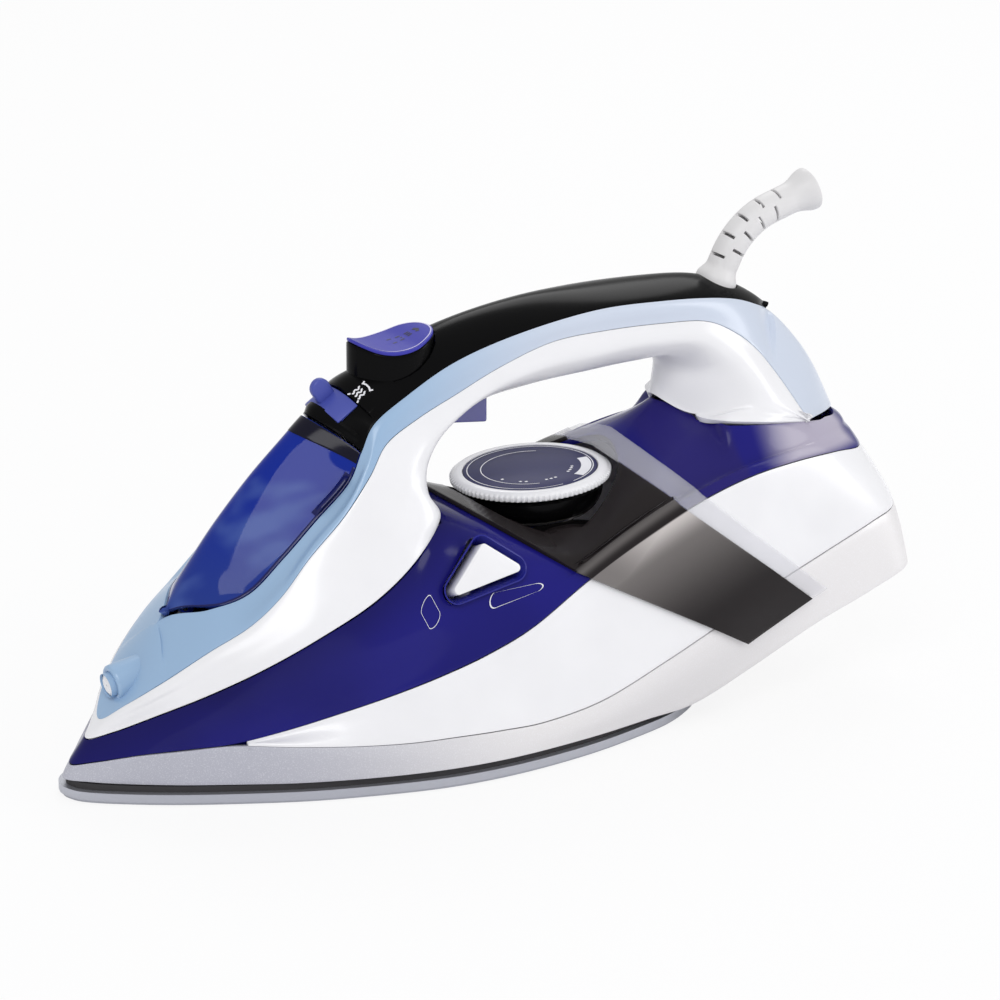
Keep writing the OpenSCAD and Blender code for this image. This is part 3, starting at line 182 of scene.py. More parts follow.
class Surface:
    """A smooth surface laid over a set of styling lines."""

    probe = 0.02

    def __init__(self) -> None:
        """Starts with no remembered stations."""
        self._known: dict[float, list[Vector]] = {}

    def lines(self, u: float) -> list[Vector]:
        """Returns the points of all the lines at station u."""
        raise NotImplementedError

    def point(self, u: float, v: float) -> Vector:
        """Returns the point at station u, v lines down from the first."""
        key = round(u, 6)
        if key not in self._known:
            self._known[key] = self.lines(u)
        row = self._known[key]
        i = max(0, min(len(row) - 4, math.floor(v)))
        return spline(row[i], row[i + 1], row[i + 2], row[i + 3], v - i)

    def normal(self, u: float, v: float) -> Vector:
        """Returns the outward direction at a point of the near side."""
        h = self.probe
        along = self.point(u + h, v) - self.point(u - h, v)
        down = self.point(u, v + h) - self.point(u, v - h)
        return down.cross(along).normalized() * self.sign

    def lifted(self, u: float, v: float, out: float) -> Vector:
        """Returns the point raised by some millimetres, kept on the middle plane if it lies there."""
        p = self.point(u, v)
        q = p + self.normal(u, v) * out * MM
        return Vector((q.x, 0, q.z)) if abs(p.y) < 0.005 * MM else q

    sign = 1.0


class BodySurface(Surface):
    """The body: 0 skirt edge, 1 seam, 2 tank edge, 3 full line, 4 shoulder, 5 middle of the deck."""

    sign = -1.0
    deck_from, deck_to = 8, 13

    def _above(self, u: float) -> Vector:
        """Returns the point that follows the shoulder: the deck, or a place inside the handle."""
        front, rear = smooth(u - self.deck_from + 1), smooth(self.deck_to + 1 - u)
        deck = DECK_MIDDLE.at(max(0, min(self.deck_to - self.deck_from, u - self.deck_from)))
        d = SHOULDER.at(u)
        heel = Vector((d.x - 12 * MM, 0.6 * d.y, d.z + 5 * MM))
        behind = SHELL_FULL.at(min(22, u + 6)).lerp(heel, smooth(u - 15))
        return (SHELL_FULL.at(u) if u < 10.5 else behind).lerp(deck, min(front, rear))

    def lines(self, u: float) -> list[Vector]:
        """Returns the points of all the lines at station u."""
        edge = SKIRT_EDGE.at(u)
        shoulder = SHOULDER.at(u)
        return [edge - Vector((0, 0, 8 * MM)), edge, SKIRT_SEAM.at(u), TANK_EDGE.at(u), TANK_FULL.at(u),
                shoulder, self._above(u), flip(shoulder)]


class HandleSurface(Surface):
    """The handle: 0 crest, 1 trim top, 2 trim seam, 3 full line, 4 inner edge, 5 middle of the gap wall."""

    gap_from, gap_to = 8, 19
    door_from, door_to = 2, 8
    last = 22

    def _trim_top(self, u: float) -> Vector:
        """Returns the trim's upper edge, on the middle plane where both sides meet."""
        p = TRIM_TOP.at(u)
        return Vector((p.x, 0, p.z)) if u <= self.door_from or u >= self.gap_to else p

    def _under(self, u: float) -> Vector:
        """Returns the point that follows the inner edge."""
        front, rear = smooth(u - self.gap_from + 1), smooth(self.gap_to + 1 - u)
        tank = TANK_FULL.at(u) if u < 13 else TANK_FULL.at(min(19, max(13, u - 6)))
        wall = GAP_WALL.at(max(0, min(self.gap_to - self.gap_from, u - self.gap_from)))
        return tank.lerp(wall, min(front, rear))

    def lines(self, u: float) -> list[Vector]:
        """Returns the points of all the lines at station u."""
        top, seam = self._trim_top(u), TRIM_SEAM.at(u)
        full, inner = SHELL_FULL.at(u), SHELL_EDGE.at(u)
        crest = flip(seam) if u < self.door_from or u > self.gap_to else CREST.at(u)
        return [flip(top), crest, top, seam, full, inner, self._under(u), flip(inner), flip(full)]


BODY = BodySurface()
HANDLE = HandleSurface()


# ------------------------------------------------------------------ shaders
class Value:
    """A shader socket that takes part in plain arithmetic."""

    def __init__(self, shader: "Shader", socket: bpy.types.NodeSocket) -> None:
        """Keeps the socket and the material it belongs to."""
        self.shader, self.socket = shader, socket

    def _math(self, operation: str, *values: "Value | float") -> "Value":
        """Adds a Math node."""
        return self.shader.value("ShaderNodeMath", {"operation": operation}, *values)

    def __add__(self, other: "Value | float") -> "Value":
        """self + other."""
        return self._math("ADD", self, other)

    def __radd__(self, other: float) -> "Value":
        """other + self."""
        return self._math("ADD", other, self)

    def __sub__(self, other: "Value | float") -> "Value":
        """self - other."""
        return self._math("SUBTRACT", self, other)

    def __rsub__(self, other: float) -> "Value":
        """other - self."""
        return self._math("SUBTRACT", other, self)

    def __mul__(self, other: "Value | float") -> "Value":
        """self * other."""
        return self._math("MULTIPLY", self, other)

    def __rmul__(self, other: float) -> "Value":
        """other * self."""
        return self._math("MULTIPLY", other, self)

    def __abs__(self) -> "Value":
        """|self|."""
        return self._math("ABSOLUTE", self)

    def rise(self, low: float, high: float) -> "Value":
        """Goes softly from 0 at low to 1 at high."""
        settings = {"interpolation_type": "SMOOTHSTEP"}
        return self.shader.value("ShaderNodeMapRange", settings, self, low, high, 0.0, 1.0)

    def times(self, other: "Value") -> "Value":
        """Keeps the smaller of two masks."""
        return self._math("MINIMUM", self, other)


Input = Value | float | tuple | None


class Shader:
    """A material's nodes."""

    def __init__(self, name: str) -> None:
        """Starts a material with a Principled BSDF."""
        self.material = bpy.data.materials.new(name)
        self.material.use_nodes = True
        self.tree = self.material.node_tree
        self.bsdf = self.tree.nodes["Principled BSDF"]

    def node(self, kind: str, settings: dict[str, object], *inputs: Input) -> bpy.types.Node:
        """Adds a node.

        Args:
            kind: the node's type.
            settings: properties that are set first.
            inputs: values or links of its sockets in order; None leaves one alone.

        Returns:
            The new node.
        """
        made = self.tree.nodes.new(kind)
        for key, value in settings.items():
            setattr(made, key, value)
        for socket, value in zip(made.inputs, inputs):
            self.feed(socket, value)
        return made

    def value(self, kind: str, settings: dict[str, object], *inputs: Input) -> Value:
        """Adds a node and returns its first output."""
        return Value(self, self.node(kind, settings, *inputs).outputs[0])

    def feed(self, socket: bpy.types.NodeSocket, value: Input) -> None:
        """Links or sets a socket."""
        if isinstance(value, Value):
            self.tree.links.new(value.socket, socket)
        elif value is not None:
            socket.default_value = value

    def set(self, name: str, value: Input) -> None:
        """Sets a socket of the Principled BSDF."""
        self.feed(self.bsdf.inputs[name], value)

    def place(self) -> Value:
        """Returns the object coordinates."""
        return Value(self, self.node("ShaderNodeTexCoord", {}).outputs["Object"])

    def axes(self, place: Value) -> tuple[Value, Value, Value]:
        """Splits a vector."""
        split = self.node("ShaderNodeSeparateXYZ", {}, place)
        return tuple(Value(self, out) for out in split.outputs)

    def noise(self, place: Value, scale: float, detail: float = 2.0) -> Value:
        """Returns a noise between 0 and 1."""
        made = self.node("ShaderNodeTexNoise", {})
        self.feed(made.inputs["Vector"], place)
        made.inputs["Scale"].default_value = scale
        made.inputs["Detail"].default_value = detail
        return Value(self, made.outputs["Fac"])

    def blend(self, mask: Value, low: tuple | Value, high: tuple | Value) -> Value:
        """Mixes two colours by a mask."""
        made = self.node("ShaderNodeMix", {"data_type": "RGBA"})
        self.feed(made.inputs["Factor"], mask)
        self.feed(made.inputs["A"], low)
        self.feed(made.inputs["B"], high)
        return Value(self, made.outputs["Result"])

    def bump(self, height: Value, strength: float, distance: float) -> None:
        """Gives the surface a fine relief."""
        made = self.node("ShaderNodeBump", {})
        made.inputs["Strength"].default_value = strength
        made.inputs["Distance"].default_value = distance
        self.feed(made.inputs["Height"], height)
        self.set("Normal", Value(self, made.outputs["Normal"]))


def rgb(red: float, green: float, blue: float) -> tuple[float, float, float, float]:
    """Turns a colour as seen on screen, 0 to 255, into a shader colour."""
    return tuple((c / 255 / 12.92 if c < 10.3 else ((c / 255 + 0.055) / 1.055) ** 2.4)
                 for c in (red, green, blue)) + (1.0,)


@dataclass(frozen=True)
class Finish:
    """A plain moulded or metal finish."""

    name: str
    slot: str
    colour: tuple[float, float, float]
    roughness: float = 0.25
    metallic: float = 0.0
    coat: float = 0.0
    clearness: float = 0.0
    specular: float = 0.5
    alpha: float = 1.0
    soft: float = 0.0

    def paint(self, shader: Shader) -> None:
        """Mottles the colour and the gloss a little, as moulded and turned pieces have it."""
        place = shader.place()
        broad = shader.noise(place, 35.0, 2.0)
        low, high = (rgb(*(min(255.0, part * share) for part in self.colour)) for share in (0.965, 1.02))
        shader.set("Base Color", shader.blend(broad, low, high))
        self.gloss(shader, place)

    def gloss(self, shader: Shader, place: Value) -> None:
        """Varies the roughness, and adds a grain to the duller finishes."""
        fine = shader.noise(place, 160.0, 2.0)
        shader.set("Roughness", self.roughness * 0.97 + fine * (self.roughness * 0.06))
        if self.roughness > 0.3:
            shader.bump(shader.noise(place, 2600.0, 1.0), 0.05, 0.00004)

    def material(self) -> bpy.types.Material:
        """Returns the material, made on its first use."""
        known = bpy.data.materials.get(self.name)
        if known:
            return known
        shader = Shader(self.name)
        shader.set("Roughness", self.roughness)
        shader.set("Metallic", self.metallic)
        shader.set("Coat Weight", self.coat)
        shader.set("Coat Roughness", 0.04)
        shader.set("Transmission Weight", self.clearness)
        shader.set("Specular IOR Level", self.specular)
        shader.set("Alpha", self.alpha)
        if self.soft:
            shader.set("Subsurface Weight", self.soft)
            shader.set("Subsurface Radius", (1.0, 1.0, 1.0))
            shader.set("Subsurface Scale", 0.001)
        self.paint(shader)
        return shader.material


@dataclass(frozen=True)
class MetallicPaint(Finish):
    """Silver paint with fine flakes that pales towards the heel."""

    pale: tuple[float, float, float] = (234, 232, 233)

    def paint(self, shader: Shader) -> None:
        """Shifts the tone along the iron and scatters the flakes."""
        place = shader.place()
        x, _, _ = shader.axes(place)
        base = shader.blend(x.rise(-0.075, 0.04), rgb(*self.colour), rgb(*self.pale))
        flakes = shader.noise(place, 2600.0, 0.0).rise(0.55, 0.72)
        shader.set("Base Color", shader.blend(flakes * 0.22, base, rgb(250, 250, 255)))
        shader.set("Roughness", 0.34 + shader.noise(place, 1500.0, 0.0) * 0.12)


@dataclass(frozen=True)
class TankTint(Finish):
    """Deep blue clear plastic over a dark inside, with painted light seen through its end at the heel, and a
    black well.
    """

    deep: tuple[float, float, float] = (15, 12, 62)
    # pale: painted light seen through the clear tank at its heel end
    pale: tuple[float, float, float] = (176, 170, 188)
    pocket: tuple[float, float, float] = (40, 34, 104)
    dial_well: tuple[float, float, float] = (12, 11, 12)
    dial_x: float = 0.0625
    dial_edge: tuple[float, float] = (0.0309, 0.0313)

    def paint(self, shader: Shader) -> None:
        """Darkens the tank towards its upper edges, and paints the light seen through it at the heel."""
        place = shader.place()
        x, y, z = shader.axes(place)
        high = (z - 0.5 * x).rise(0.055, 0.088)
        cloud = shader.noise(place, 22.0, 1.0).rise(0.35, 0.7)
        low = shader.blend(high * 0.75 + cloud * 0.25, rgb(*self.colour), rgb(*self.deep))
        under_column = x.rise(0.098, 0.104).times(1 - x.rise(0.126, 0.129)) * 0.8
        middle = shader.blend(under_column, low, rgb(*self.pocket))
        # painted light: the pale patch at the heel end stands for light seen through the clear tank
        ends = x.rise(0.134, 0.152).times(1 - x.rise(0.176, 0.184))
        rims = (z.rise(0.0835, 0.088)).times(1 - (z + 0.02 * x).rise(0.0985, 0.1025))
        outer = shader.blend(ends.times(rims), middle, rgb(*self.pale))
        east = x - self.dial_x
        reach = shader.value("ShaderNodeMath", {"operation": "SQRT"}, east * east + y * y)
        under_dial = 1 - reach.rise(*self.dial_edge)
        shader.set("Base Color", shader.blend(under_dial, outer, rgb(*self.dial_well)))
        self.gloss(shader, place)


@dataclass(frozen=True)
class TrimTint(Finish):
    """Light blue that pales along the grip and down the rear column."""

    pale: tuple[float, float, float] = (205, 214, 230)

    def paint(self, shader: Shader) -> None:
        """Shifts the tone along the iron."""
        place = shader.place()
        x, _, _ = shader.axes(place)
        shader.set("Base Color", shader.blend(x.rise(-0.015, 0.075), rgb(*self.colour), rgb(*self.pale)))
        self.gloss(shader, place)


@dataclass(frozen=True)
class DoorTint(Finish):
    """Clear blue, deeper at the top and greyer at the nose, with painted highlight streaks along it."""

    deep: tuple[float, float, float] = (14, 42, 150)
    # pale: the colour of the painted highlight streaks
    pale: tuple[float, float, float] = (74, 98, 170)

    def paint(self, shader: Shader) -> None:
        """Shifts the tone down the door and paints highlight streaks over it."""
        place = shader.place()
        _, _, z = shader.axes(place)
        stretched = shader.node("ShaderNodeMapping", {}, place)
        stretched.inputs["Rotation"].default_value = (0.0, 0.9, 0.0)
        stretched.inputs["Scale"].default_value = (9.0, 55.0, 60.0)
        # painted highlight: pale streaks that stand for reflections of the softboxes
        highlight_streak = shader.noise(Value(shader, stretched.outputs[0]), 1.0, 2.0).rise(0.52, 0.72)
        ground = shader.blend(z.rise(0.045, 0.105), rgb(*self.colour), rgb(*self.deep))
        shader.set("Base Color", shader.blend(highlight_streak * 0.75, ground, rgb(*self.pale)))
        self.gloss(shader, place)


@dataclass(frozen=True)
class SmokeTint(Finish):
    """Dark smoke with a painted reflection under its crease and a fainter one above it."""

    painted_reflection: tuple[float, float, float] = (206, 200, 198)

    def paint(self, shader: Shader) -> None:
        """Paints the reflection along the crease and a faint band of it above, by the piece's own
        coordinates.
        """
        own = shader.node("ShaderNodeTexCoord", {}).outputs["UV"]
        along, down, _ = shader.axes(Value(shader, own))
        # painted reflection: a pale band under the crease, strongest towards the rear
        under = down.rise(0.669, 0.677)
        near, far = 1 - down.rise(0.672, 0.735), 1 - down.rise(0.68, 0.87)
        lit = 0.3 + 0.7 * along.rise(0.1, 0.95)
        # painted reflection: a faint pale band above the crease
        band = down.rise(0.52, 0.6).times(1 - down.rise(0.6, 0.66)) * 0.16
        mask = under.times(near * 0.62 + far * 0.3).times(lit) + band
        shader.set("Base Color", shader.blend(mask, rgb(*self.colour), rgb(*self.painted_reflection)))
        self.gloss(shader, shader.place())


@dataclass(frozen=True)
class BrushedMetal(Finish):
    """Metal brushed along the iron."""

    def paint(self, shader: Shader) -> None:
        """Stretches a noise along X."""
        shader.set("Base Color", rgb(*self.colour))
        stretched = shader.node("ShaderNodeMapping", {}, shader.place())
        stretched.inputs["Scale"].default_value = (30.0, 1500.0, 1500.0)
        grain = shader.noise(Value(shader, stretched.outputs[0]), 1.0, 3.0)
        shader.set("Roughness", 0.24 + grain * 0.16)


WHITE = Finish("white_gloss", "white", (242, 242, 245), 0.24, coat=0.15, soft=0.1)
WHITE_RUBBER = Finish("white_rubber", "white", (224, 223, 224), 0.45, soft=0.15)
TRIM = TrimTint("light_blue_gloss", "light_blue", (152, 182, 214), 0.28, coat=0.15)
DOOR_RIM = Finish("door_rim", "door", (22, 26, 84), 0.12, specular=0.3)
DOOR_BAND = Finish("door_band", "door", (12, 11, 30), 0.12, specular=0.2)
BLACK = Finish("black_gloss", "black", (8, 8, 9), 0.2, specular=0.07)
BLACK_SATIN = Finish("black_satin", "black", (14, 14, 15), 0.32, specular=0.2)
CAP_PURPLE = Finish("cap_purple", "purple", (62, 62, 168), 0.38, specular=0.2)
CAP_LINE = Finish("cap_line", "purple", (205, 200, 240), 0.3)
LEVER_BLUE = Finish("lever_blue", "lever_blue", (48, 56, 150), 0.3, specular=0.3)
TRIGGER = Finish("trigger_violet", "trigger_violet", (104, 100, 175), 0.16, clearness=0.45, specular=0.3)
TANK = TankTint("tank_blue", "tank", (30, 28, 118), 0.12, specular=0.16)
TANK_RECESS = Finish("tank_recess", "tank", (34, 36, 132), 0.16, specular=0.3)
TANK_INSIDE = Finish("tank_inside", "tank", (22, 36, 132), 0.35, specular=0.2)
DOOR = DoorTint("door_blue", "door", (40, 62, 140), 0.06, clearness=0.12, specular=0.14)
SMOKE = SmokeTint("smoke_gloss", "smoke", (34, 30, 31), 0.16, specular=0.18)
CLEAR = Finish("clear_strip", "clear", (236, 236, 242), 0.05, specular=0.3, alpha=0.24)
NAVY = Finish("navy_disc", "navy", (30, 32, 84), 0.35, specular=0.15)
PRINT = Finish("white_print", "white", (238, 238, 244), 0.4)
DARK_PRINT = Finish("dark_print", "black", (30, 28, 60), 0.4)
SKIRT = MetallicPaint("silver_skirt", "skirt", (186, 187, 198), 0.36, metallic=0.15)
HEEL = Finish("heel_satin", "heel", (234, 232, 232), 0.4)
SOLE = BrushedMetal("sole_metal", "soleplate", (196, 198, 206), metallic=0.85)
GASKET = Finish("gasket_rubber", "gasket", (48, 46, 48), 0.6)
SHIELD = Finish("shield_dark", "shield", (36, 34, 34), 0.6)
CASTING = Finish("cast_metal", "casting", (165, 165, 170), 0.5, metallic=0.8)
STEEL = Finish("plain_steel", "steel", (175, 175, 180), 0.3, metallic=1.0)
INNER = Finish("inner_plastic", "inner", (120, 120, 126), 0.5)
WIRE = Finish("wire_red", "wire", (150, 50, 40), 0.5)
BRASS = Finish("brass_plain", "brass", (200, 165, 95), 0.3, metallic=1.0)
# painted highlight: a pale ring that stands for the highlight along the glossy cup's lower edge
CUP_HIGHLIGHT = Finish("cup_highlight", "black", (120, 118, 116), 0.2, metallic=0.6)


# ------------------------------------------------------------------ mesh building
class Carrier(Enum):
    """The moving bodies of the iron."""

    BODY = "body"
    DIAL = "dial"
    LEVER = "steam_lever_body"
    SPRAY = "spray_button_body"
    TRIGGER = "steam_trigger_body"
    DOOR = "filler_door_body"
    CLEAN = "self_clean_button_body"
    SLEEVE = "cord_sleeve_body"


class Moulding:
    """A mesh under construction."""

    def __init__(self) -> None:
        """Starts empty."""
        self.bm = bmesh.new()

    def grid(self, rows: int, columns: int, place: Place, closed: bool = False) -> list[bmesh.types.BMVert]:
        """Adds a grid laid on a surface.

        Args:
            rows: cells along the first value.
            columns: cells along the second value.
            place: where the point with both values from 0 to 1 goes.
            closed: whether the second value runs round and meets itself.

        Returns:
            The new vertices.
        """
        chart = self.bm.loops.layers.uv.verify()
        made = bmesh.ops.create_grid(self.bm, x_segments=rows, y_segments=columns, size=0.5)["verts"]
        for face in {f for v in made for f in v.link_faces}:
            for corner in face.loops:
                corner[chart].uv = corner.vert.co.x + 0.5, corner.vert.co.y + 0.5
        for v in made:
            v.co = place(v.co.x + 0.5, v.co.y + 0.5)
        if closed:
            self.weld(1e-7)
        return made

    def lathe(self, profile: Sequence[tuple[float, float]], place: Matrix, steps: int = 96) -> None:
        """Turns a profile round the Z axis of a place.

        Args:
            profile: pairs of radius and height in millimetres.
            place: the frame.
            steps: cells round the axis.
        """
        verts = [self.bm.verts.new((r * MM, 0, h * MM)) for r, h in profile]
        edges = [self.bm.edges.new(pair) for pair in zip(verts, verts[1:])]
        bmesh.ops.spin(self.bm, geom=verts + edges, axis=(0, 0, 1), cent=(0, 0, 0), steps=steps,
                       angle=2 * math.pi, use_merge=True)
        fresh = [v for v in self.bm.verts if not v.tag]
        bmesh.ops.transform(self.bm, matrix=place, verts=fresh)
        self.weld(1e-7)
        self.keep()

    def prism(self, outline: Sequence[tuple[float, float]], low: float, high: float, place: Matrix,
              rounding: float = 0.0, segments: int = 3) -> None:
        """Adds an upright prism.

        Args:
            outline: its corners in millimetres.
            low: height of its foot.
            high: height of its top.
            place: its frame.
            rounding: radius of its level edges.
            segments: steps over the rounding.
        """
        kept = {v for v in self.bm.verts if v.tag}
        verts = [self.bm.verts.new((x * MM, y * MM, low * MM)) for x, y in outline]
        face = self.bm.faces.new(verts)
        made = bmesh.ops.extrude_face_region(self.bm, geom=[face])["geom"]
        top = [g for g in made if isinstance(g, bmesh.types.BMVert)]
        bmesh.ops.translate(self.bm, vec=(0, 0, (high - low) * MM), verts=top)
        fresh = [v for v in self.bm.verts if v not in kept]
        if rounding:
            level = {e for v in fresh for e in v.link_edges if abs(e.verts[0].co.z - e.verts[1].co.z) < 1e-9}
            bmesh.ops.bevel(self.bm, geom=list(level), offset=rounding * MM, segments=segments, profile=0.5,
                            affect="EDGES", material=-1, clamp_overlap=True)
            fresh = [v for v in self.bm.verts if v not in kept]
        bmesh.ops.transform(self.bm, matrix=place, verts=fresh)
        self.keep()

    def keep(self) -> None:
        """Marks all that is there, so that the next shape is placed alone."""
        for v in self.bm.verts:
            v.tag = True

    def weld(self, distance: float = 1e-6) -> None:
        """Joins vertices at one place."""
        bmesh.ops.remove_doubles(self.bm, verts=self.bm.verts[:], dist=distance)

    def mirror(self) -> None:
        """Adds the other side of the iron and joins both on the middle plane."""
        geom = self.bm.verts[:] + self.bm.edges[:] + self.bm.faces[:]
        bmesh.ops.mirror(self.bm, geom=geom, merge_dist=2e-6, axis="Y")
        self.weld(2e-6)

    def face_out(self, outward: Callable[[Vector], Vector]) -> None:
        """Makes all faces agree, and turns them over if they look inwards.

        Args:
            outward: the direction away from the piece at a point of it.
        """
        bmesh.ops.recalc_face_normals(self.bm, faces=self.bm.faces[:])
        total = sum(f.normal.dot(outward(f.calc_center_median())) * f.calc_area() for f in self.bm.faces)
        if total < 0:
            bmesh.ops.reverse_faces(self.bm, faces=self.bm.faces[:])

    def face_from(self, centre: Vector) -> None:
        """Turns all faces away from a point, in metres."""
        self.face_out(lambda p: p - centre)

    def half_piece(self, name: str, outward: Callable[[Vector], Vector]) -> bpy.types.Object:
        """Mirrors a near half, faces it out and returns both sides as an object."""
        self.mirror()
        self.face_out(outward)
        return self.piece(name)

    def fill_holes(self) -> None:
        """Closes all open rims."""
        rims = [e for e in self.bm.edges if e.is_boundary]
        bmesh.ops.holes_fill(self.bm, edges=rims, sides=0)

    def piece(self, name: str) -> bpy.types.Object:
        """Closes the work and returns it as an object."""
        mesh = bpy.data.meshes.new(name)
        self.bm.to_mesh(mesh)
        self.bm.free()
        obj = bpy.data.objects.new(name, mesh)
        bpy.context.scene.collection.objects.link(obj)
        return obj


def sideways(p: Vector) -> Vector:
    """Points away from the middle plane."""
    return Vector((0, 1 if p.y > 0 else -1, 0))


def upwards(_: Vector) -> Vector:
    """Points up."""
    return Vector((0, 0, 1))


def settle(obj: bpy.types.Object) -> None:
    """Fixes the modifiers of an object into its mesh."""
    bpy.context.view_layer.update()
    done = obj.evaluated_get(bpy.context.evaluated_depsgraph_get())
    mesh = bpy.data.meshes.new_from_object(done)
    obj.modifiers.clear()
    obj.data = mesh


def wall(obj: bpy.types.Object, thickness: float, rounding: float = 0.3, cutters: Iterable = (),
         segments: int = 2) -> None:
    """Gives a surface its wall, its openings and soft edges.

    Args:
        obj: the surface, facing outwards.
        thickness: millimetres of wall, laid inwards.
        rounding: millimetres of soft edge.
        cutters: objects that are cut out and then removed.
        segments: steps over a soft edge.
    """
    if thickness:
        shell = obj.modifiers.new("wall", "SOLIDIFY")
        shell.thickness, shell.offset, shell.use_even_offset = thickness * MM, -1, False
        settle(obj)
    for cutter in cutters:
        cut = obj.modifiers.new("opening", "BOOLEAN")
        cut.operation, cut.object, cut.solver = "DIFFERENCE", cutter, "EXACT"
        settle(obj)
        bpy.data.objects.remove(cutter)
    if rounding:
        edge = obj.modifiers.new("edges", "BEVEL")
        edge.width, edge.segments, edge.limit_method = rounding * MM, segments, "ANGLE"
        edge.angle_limit, edge.use_clamp_overlap = math.radians(50), True
        settle(obj)


def shade(obj: bpy.types.Object, sharp: float = 38.0) -> None:
    """Shades an object smooth, apart from edges sharper than an angle in degrees."""
    bm = bmesh.new()
    bm.from_mesh(obj.data)
    for f in bm.faces:
        f.smooth = True
    limit = math.radians(sharp)
    for e in bm.edges:
        e.smooth = len(e.link_faces) == 2 and e.calc_face_angle(0.0) < limit
    bm.to_mesh(obj.data)
    bm.free()


def dress(obj: bpy.types.Object, finish: Finish, carrier: Carrier, *nodes: str) -> bpy.types.Object:
    """Finishes a piece and hands it to its body.

    Args:
        obj: the piece.
        finish: its material.
        carrier: the body it moves with.
        nodes: the assembly's nodes that it stands for.

    Returns:
        The piece.
    """
    shade(obj)
    obj.data.materials.clear()
    obj.data.materials.append(finish.material())
    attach(obj, carrier.value)
    if nodes:
        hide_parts(*nodes)
    LOG.info("%s: %d faces in %s", obj.name, len(obj.data.polygons), finish.name)
    return obj


def dress_nodes(finish: Finish, *nodes: str) -> None:
    """Gives nodes of the assembly their finish."""
    for node in nodes:
        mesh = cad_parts[node].data
        mesh.materials.clear()
        mesh.materials.append(finish.material())
        LOG.info("%s: node in %s", node, finish.name)


def turn(axis: str, degrees: float) -> Matrix:
    """Returns a rotation."""
    return Matrix.Rotation(math.radians(degrees), 4, axis)


def shift(x: float, y: float, z: float) -> Matrix:
    """Returns a move by millimetres."""
    return Matrix.Translation(Vector((x, y, z)) * MM)


def polar(radius: float, degrees: float) -> tuple[float, float]:
    """Returns the point at a radius and an angle."""
    return radius * math.cos(math.radians(degrees)), radius * math.sin(math.radians(degrees))


def circle(radius: float, sides: int) -> list[tuple[float, float]]:
    """Returns the corners of a regular polygon."""
    return [polar(radius, 360 * i / sides) for i in range(sides)]


class Tracing:
    """A line printed on a curved surface."""

    def __init__(self, mould: Moulding, surface: Callable[[float, float, float], Vector],
                 width: float = 0.35) -> None:
        """Keeps where the print goes.

        Args:
            mould: the mesh that collects the lines.
            surface: the point for two coordinates of the print and a lift in millimetres.
            width: width of the line in millimetres.
        """
        self.mould, self.surface, self.width = mould, surface, width

    def line(self, points: Sequence[tuple[float, float]], closed: bool = False, width: float = 0.0) -> None:
        """Prints a line through some points.

        Args:
            points: where it goes.
            closed: whether it returns to its start.
            width: its width in millimetres, if not the usual one.
        """
        half = (width or self.width) / 2
        count = len(points)

        def direction(i: int) -> tuple[float, float]:
            """Returns the unit direction of the line near a point."""
            a = points[(i - 1) % count] if closed or i > 0 else points[i]
            b = points[(i + 1) % count] if closed or i < count - 1 else points[i]
            length = math.hypot(b[0] - a[0], b[1] - a[1]) or 1.0
            return (b[0] - a[0]) / length, (b[1] - a[1]) / length

        cells = count if closed else count - 1

        def place(s: float, t: float) -> Vector:
            """Goes along and across the line."""
            i = round(s * cells) % count
            dx, dy = direction(i)
            across = (t - 0.5) * 2 * half
            return self.surface(points[i][0] - dy * across, points[i][1] + dx * across, 0.06)

        self.mould.grid(cells, 1, place)

    def ring(self, points: Sequence[tuple[float, float]], share: float) -> None:
        """Prints a closed line for uneven coordinates.

        Args:
            points: where it goes.
            share: half its width, as a share of its own size.
        """
        count = len(points)
        middle = [sum(p[k] for p in points) / count for k in (0, 1)]

        def place(s: float, t: float) -> Vector:
            """Goes round the line and across it."""
            x, y = points[round(s * count) % count]
            grow = 1 + share * 4 * (t - 0.5)
            return self.surface(middle[0] + (x - middle[0]) * grow, middle[1] + (y - middle[1]) * grow, 0.16)

        self.mould.grid(count, 1, place)


# ------------------------------------------------------------------ sub-assemblies
@dataclass
class BaseUnit:
    """The soleplate, the metallic skirt, the white side panels and the heel."""

    rows: int = 228
    wall_t: float = 2.0
    panel_start: float = 4.25

    def skirt(self) -> None:
        """Builds the skirt that runs round the iron above the sole."""
        mould = Moulding()
        mould.grid(self.rows, 8, lambda s, t: BODY.point(19 * s, lerp(0.99, 0.0, t)))
        obj = mould.half_piece("skirt_moulding", sideways)
        wall(obj, self.wall_t, 0.12)
        dress(obj, SKIRT, Carrier.BODY, "base_skirt")

    def panels(self) -> None:
        """Builds the white panels from the middle of the sides round the heel."""
        mould = Moulding()
        mould.grid(self.rows * 3 // 4, 18,
                   lambda s, t: BODY.point(lerp(self.panel_start, 19, s), lerp(1.99, 1.01, t)))
        obj = mould.half_piece("side_panel_moulding", sideways)
        wall(obj, self.wall_t, 0.12)
        dress(obj, WHITE, Carrier.BODY, "side_panels")

    def build(self) -> None:
        """Builds the base."""
        self.skirt()
        self.panels()
        dress_nodes(SOLE, "soleplate")
        dress_nodes(GASKET, "sole_gasket")
        dress_nodes(HEEL, "heel_plate")


